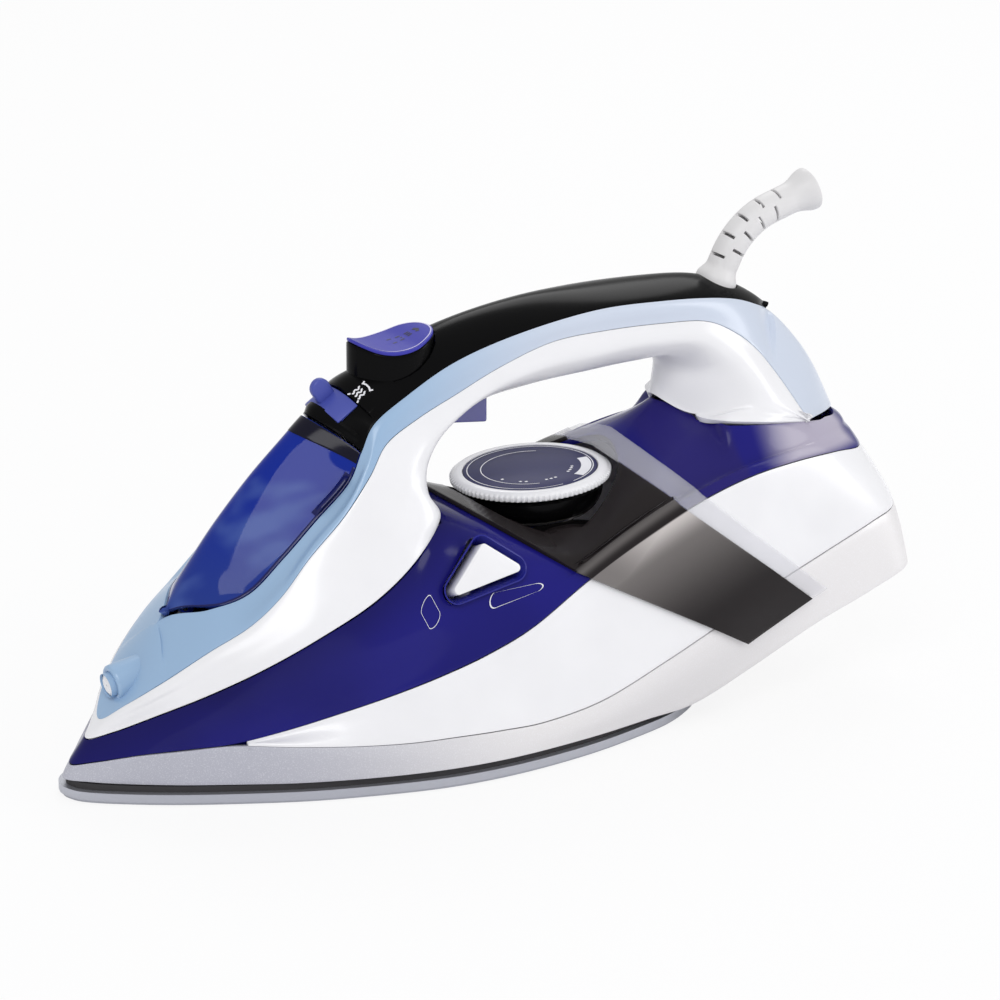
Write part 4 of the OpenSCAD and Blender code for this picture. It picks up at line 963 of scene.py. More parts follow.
@dataclass
class TankUnit:
    """The blue tank with its deck, the smoke cover and the clear strip behind it."""

    rim: float = 3.92
    wall_t: float = 2.0
    rows: int = 228
    front_high: tuple[Vector, ...] = (
        placed(142.7, 8.9, 83.5), placed(174, 44.5, 62.3), placed(119.4, 91.9, 98))
    front_low: tuple[Vector, ...] = (
        placed(178.8, 45.9, 59.9), placed(243, 47.7, 25.6), placed(169.7, 110.1, 69.1))
    cover_rear: tuple[Vector, ...] = (
        placed(205.7, 17.1, 89.8), placed(270.8, 45.5, 36.8), placed(196.2, 94.6, 88.3))
    strip_rear: tuple[Vector, ...] = (
        placed(211.9, 15.1, 96), placed(277.2, 45, 39.2), placed(202.2, 93.2, 92.3))
    cut_from: float = 8.2
    cut_to: float = 17.0
    seam_gap: float = 0.012
    cover_top: float = 5.0
    cover_foot: float = 0.55
    cover_low: float = 0.25
    cover_high: float = 1.6
    capsule_half: float = 0.14
    print_scale: float = 1.25

    def _rim(self, u: float) -> float:
        """Returns how high the tank reaches: close under the shell, a little lower along the deck."""
        under_shell = smooth(4 * (u - 12.75)) + smooth(4 * (8.25 - u))
        return self.rim + 0.07 * under_shell + 0.14 * smooth(2 * (u - 16.3))

    def tank(self) -> None:
        """Builds the tank shell with the openings of the dial and the self-clean button."""
        def deck(s: float, t: float) -> Vector:
            """Goes along the deck, and from its middle to the rim."""
            u = lerp(BODY.deck_from, BODY.deck_to, s)
            return BODY.point(u, lerp(5, self._rim(u), t))

        mould = Moulding()
        mould.grid(self.rows, 28, lambda s, t: BODY.point(19 * s, lerp(self._rim(19 * s), 2.01, t)))
        mould.grid(self.rows * 5 // 19, 16, deck)
        mould.weld(2e-6)
        obj = mould.half_piece("tank_moulding", sideways)
        wall(obj, self.wall_t, 0.15, [DIAL_UNIT.pocket(), CLEAN_UNIT.opening()])
        dress(obj, TANK, Carrier.BODY, "water_tank")

    def _cut(self, corners: Sequence[Vector], v: float) -> float:
        """Returns the station where a line of the body meets a plane.

        Args:
            corners: three points of the plane.
            v: the line, counted up from the skirt's edge.

        Returns:
            The station, found by halving the stretch in which it lies.
        """
        across = (corners[1] - corners[0]).cross(corners[2] - corners[0])
        across = -across if across.x < 0 else across
        low, high = self.cut_from, self.cut_to
        for _ in range(18):
            middle = (low + high) / 2
            behind = across.dot(BODY.point(middle, v) - corners[0]) > 0
            low, high = (low, middle) if behind else (middle, high)
        return (low + high) / 2

    def _band(self, name: str, front: Callable[[float], float], rear: Callable[[float], float],
              cells: int) -> bpy.types.Object:
        """Builds a band that lies over the body between two edges.

        Args:
            name: the piece's name.
            front: the station of the front edge on each line.
            rear: the station of the rear edge on each line.
            cells: cells between the two edges.

        Returns:
            The band's outer surface, on both sides of the iron.
        """
        columns = 100
        heights = [lerp(self.cover_top, self.cover_foot, k / columns) for k in range(columns + 1)]
        fronts, rears = [front(v) for v in heights], [rear(v) for v in heights]

        def place(s: float, t: float) -> Vector:
            """Goes from the front edge to the rear one, and from the middle down the side."""
            k = round(t * columns)
            return BODY.lifted(lerp(fronts[k], rears[k], s), heights[k], self.cover_high)

        mould = Moulding()
        mould.grid(cells, columns, place)
        return mould.half_piece(name, lambda p: Vector((0, math.copysign(0.5, p.y), 1)))

    def cover(self) -> None:
        """Builds the smoke cover and the strip along its rear edge."""
        obj = self._band("smoke_cover_moulding",
                         lambda v: max(self._cut(self.front_high, v), self._cut(self.front_low, v)),
                         lambda v: self._cut(self.cover_rear, v), 36)
        wall(obj, self.cover_high - self.cover_low, 0.25, [DIAL_UNIT.pocket()])
        dress(obj, SMOKE, Carrier.BODY, "deck_cover")
        strip = self._band("clear_strip_moulding", lambda v: self._cut(self.cover_rear, v) + self.seam_gap,
                           lambda v: self._cut(self.strip_rear, v), 8)
        wall(strip, self.cover_high - self.cover_low, 0.2)
        dress(strip, CLEAR, Carrier.BODY, "deck_edge_strip")

    def _capsule(self, ink: Moulding, start: tuple[float, float], end: tuple[float, float]) -> None:
        """Prints the outline of a capsule on the tank.

        Args:
            ink: the mesh that collects the print.
            start: station and line at one end.
            end: station and line at the other end.
        """
        du, dv = end[0] - start[0], end[1] - start[1]
        length = math.hypot(du, dv * self.print_scale)
        along = Vector((du, dv)) / length
        over = Vector((-dv * self.print_scale, du / self.print_scale)) / length
        middle = (Vector(start) + Vector(end)) / 2
        half, corners = self.capsule_half, 48
        ring = []
        for k in range(corners):
            angle = 2 * math.pi * k / corners
            reach = math.copysign(length / 2 - half, math.cos(angle)) + half * math.cos(angle)
            ring.append(tuple(middle + along * reach + over * half * math.sin(angle)))
        Tracing(ink, lambda u, v, out: BODY.lifted(u, v, out + 0.06)).ring(ring, 0.011)

    def capsules(self) -> None:
        """Prints the two bare capsule outlines beside the self-clean button."""
        ink = Moulding()
        self._capsule(ink, (7.22, 3.3), (7.6, 2.82))
        self._capsule(ink, (8.95, 2.66), (10.1, 2.88))
        ink.face_out(sideways)
        dress(ink.piece("tank_capsules"), PRINT, Carrier.BODY)

    def build(self) -> None:
        """Builds the tank and its cover."""
        self.tank()
        self.cover()
        self.capsules()
        dress_nodes(TANK_INSIDE, "tank_floor")


@dataclass
class HandleUnit:
    """The white handle shell, the light-blue trim and the glossy top cover."""

    wall_t: float = 2.0
    per_station: int = 12
    nozzle_place: tuple[float, float, float] = (-99.5, 0.0, 36.6)
    nozzle_rise: float = 11.0
    cover_from: float = 8.04
    cover_to: float = 18.84
    cover_wall: float = 1.2
    pad_from: float = 9.06
    pad_to: float = 9.98
    pad_rise: float = 1.3
    lip_from: float = 8.1
    lip_to: float = 8.4
    lip_rise: float = 0.9
    pad_reach: float = 0.9
    pad_lift: float = 0.04

    @staticmethod
    def _in_slot(p: Vector) -> bool:
        """Tells whether a place of the grip, in millimetres, lies in the trigger's slot."""
        return 22.6 < p.x < 44.6 and abs(p.y) < 6.6 and p.z > 96

    def shell(self) -> None:
        """Builds the white shell that wraps round the finger gap."""
        def outer(s: float, t: float) -> Vector:
            """Goes along the shell and down to its inner edge, a little past it behind the gap."""
            u = HANDLE.last * s
            return HANDLE.point(u, lerp(2.01, 4.0 + 0.07 * smooth(8 * (u - 18.96)), t))

        n = self.per_station
        mould = Moulding()
        mould.grid(22 * n, 28, outer)
        inner = mould.grid(11 * n, 16, lambda s, t: HANDLE.point(lerp(8, 19, s), lerp(4.0, 5.0, t)))
        slot = [f for f in {f for v in inner for f in v.link_faces}
                if self._in_slot(f.calc_center_median() / MM)]
        bmesh.ops.delete(mould.bm, geom=slot, context="FACES")
        mould.weld(2e-6)
        obj = mould.half_piece("handle_shell_moulding", sideways)
        wall(obj, self.wall_t, 0.15)
        dress(obj, WHITE, Carrier.BODY, "handle_shell")

    def nozzle_frame(self) -> Matrix:
        """Returns the frame of the spray nozzle, with Z along its bore."""
        return shift(*self.nozzle_place) @ turn("Y", 90 - self.nozzle_rise)

    def trim(self) -> None:
        """Builds the light-blue trim with the housing of the spray nozzle."""
        def place(s: float, t: float) -> Vector:
            """Goes along the trim and down from its upper edge."""
            u = 22 * s
            top = 1.0 if u <= 2 or u >= 19 else 1.01
            return HANDLE.point(u, lerp(top, 1.985, t))

        mould = Moulding()
        mould.grid(22 * self.per_station, 14, place)
        obj = mould.half_piece("trim_moulding", sideways)
        wall(obj, self.wall_t, 0.15)
        dress(obj, TRIM, Carrier.BODY, "handle_trim")
        tube = Moulding()
        tube.lathe([(4.2, -2.0), (4.2, 0.4), (4.7, 0.0), (5.7, 0.0), (6.2, 0.5), (6.3, 1.2), (6.3, 13)],
                   self.nozzle_frame())
        tube.face_from(self.nozzle_frame() @ Vector((0, 0, 0.006)))
        dress(tube.piece("nozzle_housing"), TRIM, Carrier.BODY, "handle_trim")

    def top(self) -> None:
        """Builds the glossy cover over the handle."""
        def place(s: float, t: float) -> Vector:
            """Goes along the crest and down to the trim."""
            return HANDLE.point(lerp(self.cover_from, self.cover_to, s), lerp(0.0, 0.99, t))

        mould = Moulding()
        mould.grid(150, 20, place)
        obj = mould.half_piece("top_cover_moulding", upwards)
        wall(obj, self.cover_wall, 0.15, [SPRAY_UNIT.opening(), LEVER_UNIT.opening(), SLEEVE_UNIT.opening()])
        dress(obj, BLACK, Carrier.BODY, "handle_top")

    def _pad_height(self, u: float, v: float) -> float:
        """Returns the height of the pad behind the lever, in millimetres over the cover."""
        away = (u - self.pad_from) / (self.pad_to - self.pad_from)
        return self.pad_lift + self.pad_rise * (1 - smooth(1.25 * (away - 0.2))) * self._pad_side(v)

    def _lip_height(self, u: float, v: float) -> float:
        """Returns the height of the pad before the lever, in millimetres over the cover."""
        away = (u - self.lip_from) / (self.lip_to - self.lip_from)
        return self.pad_lift + self.lip_rise * smooth(1.2 * away + 0.2) * self._pad_side(v)

    def _pad_side(self, v: float) -> float:
        """Returns 1 on a pad, falling to 0 at its side edges."""
        return smooth((1 - abs(v) / self.pad_reach) * 9)

    def _pad(self, name: str, ends: tuple[float, float], rise: float,
             height: Callable[[float, float], float]) -> None:
        """Builds a raised pad on the cover.

        Args:
            name: the piece's name.
            ends: its first and last stations.
            rise: its greatest height in millimetres.
            height: its height over the cover at a station and a line.
        """
        def place(s: float, t: float) -> Vector:
            """Goes along the pad and down from the crest."""
            u, v = lerp(*ends, s), lerp(0.0, self.pad_reach, t)
            return HANDLE.lifted(u, v, height(u, v))

        mould = Moulding()
        mould.grid(30, 24, place)
        obj = mould.half_piece(name, upwards)
        wall(obj, rise + 0.3, 0.35, segments=3)
        dress(obj, BLACK, Carrier.BODY, "handle_top")

    def pads(self) -> None:
        """Builds the raised pads behind and before the lever's slot."""
        self._pad("pad_behind_lever", (self.pad_from, self.pad_to), self.pad_rise, self._pad_height)
        self._pad("pad_before_lever", (self.lip_from, self.lip_to), self.lip_rise, self._lip_height)

    def icons(self) -> None:
        """Prints the steam sign and the crossed steam sign beside the lever."""
        def print_at(station: float, side: float) -> Callable[[float, float, float], Vector]:
            """Returns a place on the cover for distances along it and across it."""
            def place(x: float, y: float, out: float) -> Vector:
                """Lays a point of the sign on the cover."""
                u, v = station + x / 12.0, side + y / 21.0
                return HANDLE.lifted(u, v, self._pad_height(u, v) + 0.05 + out)
            return place

        ink = Moulding()
        for station, side, crossed in ((9.3, -0.42, False), (9.27, 0.44, True)):
            pen = Tracing(ink, print_at(station, side), 0.5)
            for shift_y in (-1.3, 0.0, 1.3):
                pen.line([(-1.7 + 0.32 * k, shift_y + 0.35 * math.sin(1.3 * k)) for k in range(10)])
            pen.line([(2.1, -2.0), (2.6, -0.7), (2.6, 0.7), (2.1, 2.0)])
            if crossed:
                pen.line([(-2.6, -2.2), (2.9, 2.2)])
                pen.line([(-2.6, 2.2), (2.9, -2.2)])
        ink.face_out(upwards)
        dress(ink.piece("steam_signs"), PRINT, Carrier.BODY)

    def build(self) -> None:
        """Builds the handle."""
        self.shell()
        self.trim()
        self.top()
        self.pads()
        self.icons()
        dress_nodes(WHITE, "spray_nozzle")


@dataclass
class DoorUnit:
    """The clear blue filler door over its basin and neck."""

    thickness: float = 1.7
    front: float = 2.14
    back: float = 7.96

    def _edge(self, u: float) -> float:
        """Returns how far down the door reaches at a station."""
        return 0.985 - 0.19 * (1 - smooth((u - 2.5) / 0.9))

    def door(self) -> None:
        """Builds the door shell."""
        def place(s: float, t: float) -> Vector:
            """Goes from the hinge to the top, and from the crest down."""
            u = lerp(self.front, self.back, s)
            return HANDLE.point(u, lerp(0.0, self._edge(u), t))

        mould = Moulding()
        mould.grid(96, 20, place)
        obj = mould.half_piece("door_moulding", upwards)
        wall(obj, self.thickness, 0.25)
        dress(obj, DOOR, Carrier.DOOR, "filler_door")

    def _skin(self, name: str, finish: Finish, place: Place, rows: int, columns: int, rise: float) -> None:
        """Adds a thin part of the door that follows its surface on both sides.

        Args:
            name: the piece's name.
            finish: its material.
            place: where the point with both values from 0 to 1 goes.
            rows: cells along the door.
            columns: cells down from the crest.
            rise: millimetres that it stands out.
        """
        mould = Moulding()
        mould.grid(rows, columns, place)
        obj = mould.half_piece(name, upwards)
        wall(obj, rise + 0.3, 0.1)
        dress(obj, finish, Carrier.DOOR, "filler_door")

    def trimmings(self) -> None:
        """Builds the dark rim, the dark upper band and the ribs for the fingertips."""
        def rim(s: float, t: float) -> Vector:
            """Follows the lower edge of the door."""
            u = lerp(self.front + 0.02, self.back - 0.5, s)
            return HANDLE.lifted(u, self._edge(u) - lerp(0.055, 0.002, t), 0.12)

        def band(s: float, t: float) -> Vector:
            """Covers the upper end of the door, lower in its middle."""
            v = lerp(0.0, self._edge(self.back) - 0.003, t)
            return HANDLE.lifted(lerp(self.back - 0.36 - 0.16 * (1 - v * v), self.back - 0.01, s), v, 0.12)

        def rib(s: float, t: float) -> Vector:
            """Stands out from the lower edge, for a fingertip."""
            u = lerp(6.05, 7.2, s)
            end = smooth(6.0 * min(s, 1 - s))
            return HANDLE.lifted(u, self._edge(u) - lerp(0.13, 0.03, t), 0.2 + 2.0 * end * smooth(1.6 * t))

        self._skin("door_rim", DOOR_RIM, rim, 96, 2, 0.12)
        self._skin("door_band", DOOR_BAND, band, 8, 24, 0.12)
        self._skin("door_rib", DOOR_RIM, rib, 36, 6, 0.9)

    def build(self) -> None:
        """Builds the door and finishes what lies under it."""
        self.door()
        self.trimmings()
        dress_nodes(DOOR, "door_hinge")
        dress_nodes(TANK_INSIDE, "filler_basin", "filler_neck", "hinge_ears")
        dress_nodes(STEEL, "door_pin")


@dataclass
class DialUnit:
    """The white dial with its navy disc, in a glossy cup."""

    centre: tuple[float, float, float] = (63.0, 0.0, 87.0)
    tilt: float = 4.0
    radius: float = 28.25
    height: float = 5.0
    cup_r: float = 22.0
    cup_drop: float = 13.5
    ribs: int = 90
    print_lift: float = -0.24
    dot_r: float = 14.6

    def place(self) -> Matrix:
        """Returns the dial's frame: Z along its axis, level with its top face."""
        return shift(*self.centre) @ turn("Y", -self.tilt)

    def pocket(self) -> bpy.types.Object:
        """Returns the shape that the dial takes out of the deck."""
        mould = Moulding()
        step, floor = -self.cup_drop - 0.35, -self.cup_drop - 8
        inner, outer = self.cup_r + 0.35, self.radius + 2.5
        profile = [(0, floor), (inner, floor), (inner, step), (outer, step), (outer, 30), (0, 30)]
        mould.lathe(profile, self.place(), 128)
        mould.face_from(self.place().translation)
        return mould.piece("dial_pocket")

    def ring(self) -> None:
        """Builds the ring with its ribs."""
        profile = [(23.65, -1.15), (23.65, -0.35), (23.9, -0.08), (24.4, 0.0), (25.6, -0.05), (26.5, -0.3),
                   (27.1, -0.75), (27.45, -1.2), (27.5, -1.5), (27.5, -2.7), (27.35, -3.0), (26.9, -3.3),
                   (25.6, -3.9), (24.0, -4.5), (22.8, -5.0), (20, -5.0), (3.2, -5.0)]
        rib_band = range(8, 11)
        steps = self.ribs * 6
        frame_at = self.place()

        def place(s: float, t: float) -> Vector:
            """Goes down the profile and round the ring."""
            k = round(s * (len(profile) - 1))
            r, h = profile[k]
            phase = (t * self.ribs) % 1.0
            swell = 0.72 * smooth(1.6 - 4.4 * abs(phase - 0.5)) if k in rib_band else 0.0
            if k in (7, 11):
                swell = 0.3 * smooth(1.6 - 4.4 * abs(phase - 0.5))
            a = 2 * math.pi * t
            return frame_at @ (Vector(((r + swell) * math.cos(a), (r + swell) * math.sin(a), h)) * MM)

        mould = Moulding()
        mould.grid(len(profile) - 1, steps, place)
        mould.weld(1e-6)
        mould.face_from(frame_at @ Vector((0, 0, -0.004)))
        dress(mould.piece("dial_ring_moulding"), WHITE, Carrier.DIAL, "dial_ring")

    def _on_disc(self, x: float, y: float, lift: float) -> Vector:
        """Returns a point on the disc's face."""
        return self.place() @ (Vector((x, y, self.print_lift + lift)) * MM)

    def disc(self) -> None:
        """Builds the disc and its printed scale."""
        mould = Moulding()
        mould.lathe([(0, -1.0), (23.4, -1.0), (23.4, -0.4), (23.2, -0.3), (0, -0.3)], self.place(), 128)
        mould.face_from(self.place() @ Vector((0, 0, -0.0007)))
        dress(mould.piece("dial_disc_moulding"), NAVY, Carrier.DIAL, "dial_disc")
        ink = Moulding()
        pen = Tracing(ink, self._on_disc, 0.35)

        def arc(radius: float, start: float, end: float, width: float = 0.35) -> None:
            """Prints part of a circle between two angles in degrees."""
            steps = max(6, int(abs(end - start) / 3))
            pen.line([polar(radius, lerp(start, end, i / steps)) for i in range(steps + 1)], width=width)

        arc(22.0, -78, 40)
        arc(22.0, 40, 270)
        arc(17.2, 52, 250)
        arc(19.6, -62, -8, 3.6)
        for angle in (198, 226, 234, 262, 269, 276, 304, 311, 318, 325):
            x, y = polar(self.dot_r, angle)
            pen.line([(x - 0.5, y), (x + 0.5, y)], width=1.0)
        ink.face_out(upwards)
        dress(ink.piece("dial_print"), PRINT, Carrier.DIAL)

    def cup(self) -> None:
        """Builds the glossy cup under the dial, with a pale ring painted as the highlight along its lower
        edge.
        """
        mould = Moulding()
        mould.lathe([(13, -15.5), (19, -15.5), (20.8, -14.6), (22, -13.4), (23.8, -11.4), (24.7, -9.4),
                     (25.1, -7.4), (25.05, -5.6), (24.6, -5.4), (4.2, -5.4), (4.2, -7.4), (20, -7.4),
                     (13, -13.6), (13, -15.5)], self.place(), 128)
        mould.face_from(self.place() @ Vector((0, 0, -0.011)))
        dress(mould.piece("dial_cup_moulding"), BLACK, Carrier.BODY, "dial_cup")
        # painted highlight: a thin pale ring along the cup's lower edge
        line = Moulding()
        line.lathe([(21.5, -13.86), (22.6, -12.86), (22.75, -12.9), (21.7, -14.0), (21.5, -13.86)],
                   self.place(), 128)
        line.face_from(self.place() @ Vector((0, 0, -0.011)))
        dress(line.piece("dial_cup_highlight"), CUP_HIGHLIGHT, Carrier.BODY, "dial_cup")

    def build(self) -> None:
        """Builds the dial."""
        self.ring()
        self.disc()
        self.cup()
        dress_nodes(STEEL, "thermostat_shaft")


@dataclass
class SprayUnit:
    """The spray button: a glossy pod with a purple saddle cap."""

    centre: float = 7.3
    length: float = 31.0
    width: float = 24.5
    base: float = 128.6
    taper: float = 0.1

    def outline(self, grow: float, sides: int = 96) -> list[tuple[float, float]]:
        """Returns the pod's outline, grown by some millimetres."""
        ring = []
        for i in range(sides):
            a = 2 * math.pi * i / sides
            wide = (self.width / 2 + grow) * math.sin(a) * (1 + self.taper * math.cos(a))
            ring.append((self.centre + (self.length / 2 + grow) * math.cos(a), wide))
        return ring

    def opening(self) -> bpy.types.Object:
        """Returns the shape that the pod takes out of the top cover."""
        mould = Moulding()
        mould.prism(self.outline(0.45), self.base - 10, self.base + 40, Matrix.Identity(4))
        mould.face_from(Vector((0.0073, 0, 0.14)))
        return mould.piece("pod_opening")

    def _top(self, x: float) -> float:
        """Returns the height of the cap over a place along X, both in millimetres."""
        low, high = 0.0, 7.0
        for _ in range(24):
            mid = (low + high) / 2
            low, high = (mid, high) if BUTTON_TOP.at(mid).x / MM < x else (low, mid)
        return BUTTON_TOP.at(low).z / MM

    def _stack(self, name: str, levels: Sequence[tuple[float, float]], foot: float) -> bpy.types.Object:
        """Builds a body whose top follows the saddle.

        Args:
            name: the piece's name.
            levels: pairs of inset and drop below the saddle, from the rim inwards; a drop below
                zero stands for the foot.
            foot: height of the flat foot.

        Returns:
            The piece, closed.
        """
        sides = 96
        rings = [self.outline(-inset, sides) for inset, _ in levels]

        def place(s: float, t: float) -> Vector:
            """Goes from the foot to the middle of the top, and round."""
            k = round(s * (len(levels) - 1))
            x, y = rings[k][round(t * sides) % sides]
            drop = levels[k][1]
            return Vector((x, y, foot if drop < 0 else self._top(x) - drop)) * MM

        mould = Moulding()
        mould.grid(len(levels) - 1, sides, place)
        mould.weld(1e-6)
        mould.fill_holes()
        mould.face_from(placed(NOSE + self.centre, 0, 135))
        return mould.piece(name)

    def build(self) -> None:
        """Builds the pod, its cap and the printed marks."""
        pod_levels = [(0, -1), (0, 3.5), (0.02, 2.2), (0.12, 1.75), (0.5, 1.36)]
        pod_levels += [(inset, 1.32) for inset in (2, 5, 8, 10.5)]
        dress(self._stack("spray_pod", pod_levels, self.base), BLACK, Carrier.SPRAY, "spray_button")
        cap_levels = [(9.8, 1.29), (2, 1.29), (0.35, 1.29), (0.2, 1.1), (0.2, 0.5), (0.35, 0.18)]
        cap_levels += [(0.75, 0.02)] + [(inset, 0.0) for inset in (1.2, 3, 5, 7, 9, 10.6)]
        cap = self._stack("spray_cap", cap_levels, self.base)
        dress(cap, CAP_PURPLE, Carrier.SPRAY, "spray_button_cap")
        ink = Moulding()
        pen = Tracing(ink, lambda x, y, lift: Vector((x, y, self._top(x) + lift)) * MM, 0.45)
        pen.line(self.outline(-1.0), closed=True)
        ink.face_out(upwards)
        dress(ink.piece("spray_cap_line"), CAP_LINE, Carrier.SPRAY)
        marks = Moulding()
        pen = Tracing(marks, lambda x, y, lift: Vector((x, y, self._top(x) + lift)) * MM, 0.8)
        for y in (-2.4, 0.0, 2.4):
            for k in range(3):
                x = 7.4 + 3.1 * k
                pen.line([(x, y * (0.55 + 0.2 * (2 - k))), (x + 1.7, y * (0.5 + 0.2 * (2 - k)))])
        pen.line([(17.2, -1.7), (18.0, 0.0), (17.2, 1.7)], width=1.3)
        marks.face_out(upwards)
        dress(marks.piece("spray_cap_marks"), DARK_PRINT, Carrier.SPRAY)
        dress_nodes(INNER, "spray_pump", "spray_piston")
        dress_nodes(STEEL, "spray_spring")


@dataclass
class LeverUnit:
    """The steam lever: a blue band with a tab, in a slot of the top cover."""

    station: float = 8.72
    radius: float = 19.5
    width: float = 9.0
    span: float = 37.0
    swing: float = 13.0

    def place(self) -> Matrix:
        """Returns the lever's frame: X along its axis, Z up through the tab."""
        way = CREST.at(self.station + 0.1) - CREST.at(self.station - 0.1)
        slope = math.degrees(math.atan2(way.z, way.x))
        at = CREST.at(self.station) / MM
        return shift(*at) @ turn("Y", -slope) @ shift(0, 0, -self.radius)

    def _sector(self, mould: Moulding, r0: float, r1: float, wide: float, half: float,
                cells: int = 40) -> None:
        """Adds a solid ring sector round the lever's axis.

        Args:
            mould: the mesh that takes it.
            r0: inner radius in millimetres.
            r1: outer radius in millimetres.
            wide: width along the axis in millimetres.
            half: degrees to either side of the tab.
            cells: cells round the axis.
        """
        frame_at = self.place()
        loop = [(-wide / 2, r0), (-wide / 2, r1), (wide / 2, r1), (wide / 2, r0), (-wide / 2, r0)]

        def place(s: float, t: float) -> Vector:
            """Goes round the axis and round the section."""
            x, r = loop[round(t * 4)]
            a = math.radians(lerp(-half, half, s))
            return frame_at @ (Vector((x, r * math.sin(a), r * math.cos(a))) * MM)

        mould.grid(cells, 4, place)
        mould.weld(1e-7)
        mould.fill_holes()

    def opening(self) -> bpy.types.Object:
        """Returns the shape of the slot."""
        mould = Moulding()
        self._sector(mould, self.radius - 5, self.radius + 12, self.width + 0.9, self.swing + 17)
        mould.face_from(self.place() @ Vector((0, 0, self.radius * MM)))
        return mould.piece("lever_slot")

    def build(self) -> None:
        """Builds the band and its tab."""
        mould = Moulding()
        self._sector(mould, self.radius - 2.4, self.radius + 0.2, self.width, self.span, 64)
        mould.keep()
        mould.face_from(self.place() @ Vector((0, 0, (self.radius - 1.2) * MM)))
        obj = mould.piece("lever_band")
        wall(obj, 0, 0.4, segments=3)
        dress(obj, LEVER_BLUE, Carrier.LEVER, "steam_lever")
        tab = Moulding()
        outline = [(-3.4, -1.2)] + [(3.5 * math.sin(math.radians(a)), 4.0 + 3.5 * math.cos(math.radians(a)))
                                    for a in range(-90, 91, 10)] + [(3.4, -1.2)]
        stand = self.place() @ shift(0, 0, self.radius) @ turn("X", 90)
        tab.prism(outline, -1.5, 1.5, stand, 0.9, 4)
        tab.face_from(stand @ Vector((0, 0.004, 0)))
        dress(tab.piece("lever_tab"), LEVER_BLUE, Carrier.LEVER, "steam_lever")
        dress_nodes(INNER, "lever_bracket")
        dress_nodes(STEEL, "valve_rod")
        dress_nodes(BRASS, "valve_seat")


@dataclass
class TriggerUnit:
    """The violet trigger under the grip and its pump."""

    half: float = 6.0

    def build(self) -> None:
        """Builds the trigger's shell."""
        outline = [(24.4, 113.5), (27.5, 109.6), (42.3, 107.9), (42.3, 122), (31, 122), (29.5, 124),
                   (24.6, 124), (23.8, 119)]
        mould = Moulding()
        mould.prism(outline, -self.half, self.half, turn("X", 90), 0.0)
        mould.face_from(Vector((0.034, 0, 0.115)))
        obj = mould.piece("trigger_moulding")
        wall(obj, 0, 0.9, segments=3)
        dress(obj, TRIGGER, Carrier.TRIGGER, "steam_trigger")
        dress_nodes(INNER, "steam_pump", "steam_piston")
        dress_nodes(STEEL, "trigger_spring", "trigger_pin")


@dataclass
class CleanUnit:
    """The white self-clean button in its rounded triangular opening."""

    centre: tuple[float, float, float] = (20.0, -42.0, 69.0)
    lean: float = 23.5
    side: float = 27.0
    rim: float = 2.6
    corner: float = 1.6

    def place(self) -> Matrix:
        """Returns the button's frame, with Z outwards."""
        return shift(*self.centre) @ turn("X", 90 - self.lean)

    def outline(self, grow: float, steps: int = 10) -> list[tuple[float, float]]:
        """Returns the rounded triangle, grown by some millimetres."""
        scale = self.side / 31 * 0.86
        corners = [Vector((x * scale, y * scale)) for x, y in ((1, 9.2), (-16, -7.2), (15, -1.9))]
        radius = self.corner + grow
        points: list[tuple[float, float]] = []
        for i, c in enumerate(corners):
            before, after = c - corners[i - 1], corners[(i + 1) % 3] - c
            start, end = math.atan2(-before.x, before.y), math.atan2(-after.x, after.y)
            end += 2 * math.pi if end < start else 0.0
            for k in range(steps + 1):
                angle = lerp(start, end, k / steps)
                points.append((c.x + radius * math.cos(angle), c.y + radius * math.sin(angle)))
        return points

    def opening(self) -> bpy.types.Object:
        """Returns the shape that the button takes out of the tank."""
        mould = Moulding()
        mould.prism(self.outline(self.rim + 0.25), -12, 8, self.place())
        mould.face_from(self.place().translation)
        return mould.piece("clean_opening")

    def build(self) -> None:
        """Builds the button."""
        mould = Moulding()
        mould.prism(self.outline(0.0), -5.5, 1.8, self.place(), 0.35, 3)
        mould.face_from(self.place() @ Vector((0, 0, -0.002)))
        dress(mould.piece("clean_button_moulding"), WHITE, Carrier.CLEAN, "self_clean_button")
        levels = [(2.75, 0.35), (2.6, -0.1), (2.2, -0.9), (1.6, -2.2), (1.1, -4.0), (0.45, -6.0)]
        rings = [self.outline(grow) for grow, _ in levels]
        count = len(rings[0])

        def place(s: float, t: float) -> Vector:
            """Goes down the recess and round it."""
            k = round(s * (len(levels) - 1))
            x, y = rings[k][round(t * count) % count]
            return self.place() @ (Vector((x, y, levels[k][1])) * MM)

        recess = Moulding()
        recess.grid(len(levels) - 1, count, place)
        recess.weld(1e-6)
        recess.face_out(lambda p: self.place() @ Vector((0, 0, 0.004)) - p)
        rim = recess.piece("clean_recess")
        wall(rim, 0.5, 0.0)
        dress(rim, TANK_RECESS, Carrier.BODY, "self_clean_guide")
        dress_nodes(TANK_INSIDE, "self_clean_guide")
        dress_nodes(STEEL, "self_clean_spring")


